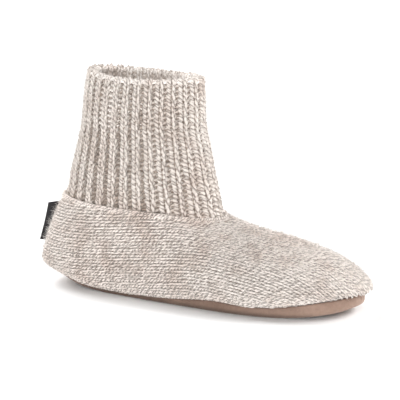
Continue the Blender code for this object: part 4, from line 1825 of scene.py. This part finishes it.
@dataclass
class SuedeSole:
    """The padded sole: a dished floor whose soft band turns up to meet the knit."""
    rays: int = 161
    floor: float = 2.6
    wall: float = 3.2
    heel_tuck: float = 6.0        # how much further in the underside lies at the heel
    heel_run: float = 70.0        # length over which it does so
    profile: Rows = (             # how far the band swells out at each share of its height
        (0.0, -2.2), (0.05, -1.1), (0.15, -0.1), (0.35, 0.5), (0.62, 0.55), (0.86, 0.15), (1.0, -0.9))
    pucker: float = 0.18
    pucker_pitches: Pair = (7.5, 4.3)

    def form(self) -> Piece:
        """The sole as one closed mesh.

        Returns:
            The object, linked to the scene.
        """
        flat = knit_edge_line(self.rays)
        station = flat[:, 0]
        away = round_trip(LAST.side_normals(LAST.widest_side(self.rays)))
        under = LAST.underside(station)
        band = LAST.read("band", station) - SEWN_GAP
        floor = np.minimum(self.floor, band)
        profile = smooth_curve(self.profile, 60)
        turns = 2 * pi * walked(flat)
        gather = (np.sin(turns / self.pucker_pitches[0])
                  + 0.5 * np.sin(turns / self.pucker_pitches[1] + 1.0)) * self.pucker
        heel = np.clip(1 - station / self.heel_run, 0, 1) * self.heel_tuck

        def ring(out: Array | float, height: Array) -> Array:
            """Points round the sole, moved outwards to a height."""
            return np.column_stack([flat + away * np.reshape(out, (-1, 1)), height])

        rings = [ring(-(4.5 + heel), under)]
        for share in np.linspace(0, 1, 15):
            out = read_table(profile, share) - heel * (1 - share) + share ** 2 * gather
            rings.append(ring(out, under + share * band))
        rings += [ring(-2.2, under + band - 0.1), ring(0.2 - self.wall, under + floor + 0.4 * (band - floor)),
                  ring(-self.wall - 0.6, under + floor)]
        return make_loft("sole_suede", rings)

    def build(self) -> None:
        """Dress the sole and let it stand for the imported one."""
        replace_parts(dress(self.form(), Suede().material()), "sole")


@dataclass
class FleeceInsole:
    """The fleece insole: a soft pad that lies on the sole's floor."""
    rays: int = 121
    inset: float = 5.2
    floor: float = 2.6            # thickness of the sole that it lies on
    side: Rows = (                # how far in each ring lies, and how high over the base
        (0.9, 0.0), (0.2, 0.4), (0.0, 1.3), (0.3, 2.3), (1.2, 2.85), (3.5, 3.0))

    def form(self) -> Piece:
        """The insole as one closed mesh with a crowned top.

        Returns:
            The object, linked to the scene.
        """
        rings = []
        for step_in, lift in self.side:
            plan = knit_edge_line(self.rays, -self.inset - step_in)
            station = plan[:, 0]
            floor = np.minimum(self.floor, LAST.read("band", station) - SEWN_GAP)
            rings.append(np.column_stack([plan, LAST.underside(station) + floor + SEWN_GAP + lift]))
        return make_loft("insole_fleece", rings)

    def build(self) -> None:
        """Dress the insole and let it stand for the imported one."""
        insole = dress(self.form(), Fleece().material())
        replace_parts(insole, "insole")


@dataclass
class HeelTab:
    """The woven tab: a folded tape caught in the seam at the back of the heel, left blank."""
    foot: float = 27.0
    length: float = 30.0
    reach: float = 8.5
    lean: float = 8.3
    thickness: float = 1.2
    sway: float = 0.35            # how far its middle bends to one side
    slope: Pair = (-0.4, -2.8)     # fall of its edges from the heel outwards, below and above
    pinched: float = 0.15         # share by which the two layers draw together between fold and seam

    def form(self) -> Piece:
        """The folded tape as one closed mesh, its fold rounded.

        Returns:
            The object, linked to the scene.
        """
        rows = 25
        share = np.linspace(0, 1, rows)
        x = np.linspace(0, LAST.opening_centre - LAST.opening_length / 2 - 0.5, 60)
        heel = np.interp(self.foot + share * self.length, LAST.height(x, np.zeros_like(x)), x) + 0.6
        outer = -self.reach + self.lean * share + 0.25 * np.sin(pi * share)
        half = self.thickness / 2
        turn = np.linspace(-pi / 2, pi / 2, 7)
        flats = np.linspace(0, 1, 8)[1:]
        side_y = half * (1 - self.pinched * np.sin(pi * flats))
        loop_y = np.concatenate([half * np.sin(turn), side_y, -side_y[::-1]])
        loops = []
        for s, near, far in zip(share, heel, outer):
            slope = self.slope[1] * s + self.slope[0] * (1 - s)
            side_x = far + half + (near - far - half) * flats
            loop_x = np.concatenate([far + half - half * np.cos(turn), side_x, side_x[::-1]])
            reach = (near - loop_x) / max(near - far, 1e-6)
            loops.append(np.column_stack([
                loop_x, loop_y + self.sway * np.sin(pi * s) * reach ** 2,
                self.foot + s * self.length + slope * (reach - 1)]))
        count = len(loop_y)
        faces = loft_faces(rows, count, False, True)
        faces += [tuple(range(count)), tuple(range((rows - 1) * count, rows * count))]
        piece = make_mesh("heel_tab", np.array(loops), faces, closed=True)
        piece.data.set_sharp_from_angle(angle=radians(50))
        return piece

    def build(self) -> None:
        """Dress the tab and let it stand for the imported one."""
        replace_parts(dress(self.form(), WovenTape().material()), "heel_label")


# ---------------------------------------------------------------- the studio
@dataclass(frozen=True)
class Studio:
    """A pale floor, soft light and the camera."""
    azimuth: float = 28.5         # degrees round from straight at the right side
    elevation: float = 11.5
    distance: float = 1.6         # metres
    lens: float = 193.7           # millimetres on a film of 36
    aim: Triple = (0.00425, 0.0, 0.075)
    frame_shift: Pair = (-0.00223, -0.00297)   # metres right and up in the picture
    floor_size: float = 14.0
    room_light: float = 0.1
    spread: float = 35.0          # angle in degrees that each lamp fills
    lamps: tuple[tuple[str, Triple, float], ...] = (   # name, direction and power
        ("heel_side", (-0.74, 0.27, 0.616), 3.8), ("toe_side", (0.604, 0.507, 0.616), 3.45),
        ("front", (0.171, -0.97, 0.174), 1.65), ("front_toe", (0.473, -0.819, 0.326), 1.25))

    def axes(self) -> tuple[Vector, Vector, Vector]:
        """The camera's own directions.

        Returns:
            Its right, up and back.
        """
        a, e = radians(self.azimuth), radians(self.elevation)
        back = Vector((np.sin(a) * np.cos(e), -np.cos(a) * np.cos(e), np.sin(e)))
        right = Vector((np.cos(a), np.sin(a), 0.0))
        return right, back.cross(right), back

    def place_camera(self) -> None:
        """Stand the camera, aimed a little beside and under the shoe's middle."""
        right, up, back = self.axes()
        data = bpy.data.cameras.new("camera")
        data.lens = self.lens
        data.sensor_width = 36.0
        data.clip_end = 60.0
        camera = add_object("camera", data)
        aim = Vector(self.aim) + right * self.frame_shift[0] + up * self.frame_shift[1]
        turn = Matrix((right, up, back)).transposed()
        camera.matrix_world = Matrix.Translation(aim + back * self.distance) @ turn.to_4x4()
        bpy.context.scene.camera = camera

    def hang_lamps(self) -> None:
        """Hang broad soft lights that shine from far away."""
        for name, towards, power in self.lamps:
            data = bpy.data.lights.new(name, "SUN")
            data.angle = radians(self.spread)
            data.energy = power
            add_object(name, data).rotation_euler = Vector(towards).to_track_quat("Z", "Y").to_euler()

    def lay_floor(self) -> None:
        """Lay a matt floor of pale paper."""
        half = self.floor_size / 2
        data = bpy.data.meshes.new("floor")
        corners = [(-half, -half, 0), (half, -half, 0), (half, half, 0), (-half, half, 0)]
        data.from_pydata(corners, [], [(0, 1, 2, 3)])
        shader = Shader("floor_paper", roughness=1.0)
        grain = shader.noise(300.0, 2.0)
        shader.paint(shader.mix(grain, shade(248, 248, 248), shade(251, 251, 251)))
        shader.shader.inputs["Specular IOR Level"].default_value = 0.0
        data.materials.append(shader.material)
        add_object("floor", data)

    def build(self) -> None:
        """Lay the floor, hang the lamps, light the room evenly and stand the camera."""
        self.lay_floor()
        self.hang_lamps()
        world = bpy.data.worlds.new("room")
        world.use_nodes = True
        background = world.node_tree.nodes["Background"]
        background.inputs["Color"].default_value = WHITE
        background.inputs["Strength"].default_value = self.room_light
        bpy.context.scene.world = world
        bpy.context.scene.view_settings.view_transform = "Standard"
        self.place_camera()


# ---------------------------------------------------------------- putting it together
@dataclass(frozen=True)
class Fuzz:
    """The loose fibres that stand off the foot and the cuff."""
    per_area: float = 3.6e5       # fibres to a square metre
    seed: int = 5

    def build(self, foot: JerseyFoot, cuff: RibCuff) -> None:
        """Grow the fibres.

        Args:
            foot: The knitted foot.
            cuff: The ribbed cuff.
        """
        hairs = hair_tree()
        hair = WoolHair().object()
        # the loose fibres are cream, made paler still as painted light that they catch at the edges
        down = RaggYarn("ragg_wool_fuzz", shade(234, 229, 225), shade(190, 180, 171)).material()
        grounds = {"foot_fuzz": (foot.surface(), "wool_jersey"), "cuff_fuzz": (cuff.surface(), "wool_rib")}
        for number, (name, (surface, slot)) in enumerate(grounds.items()):
            values = {"Hair": hair, "Hairs per Area": self.per_area, "Material": down,
                      "Seed": self.seed + number}
            dress(hairs.grow(name, surface, values), down)
        bpy.data.objects.remove(hair)


def main() -> None:
    """Build every piece in order."""
    logging.basicConfig(level=logging.INFO, format="%(name)s %(message)s")
    Studio().build()
    stitches = stitch_tree()
    foot, cuff = JerseyFoot(), RibCuff()
    foot.build(stitches)
    cuff.build(stitches)
    Fuzz().build(foot, cuff)
    for piece in (SuedeSole(), FleeceInsole(), HeelTab()):
        piece.build()


if __name__ == "__main__":
    main()
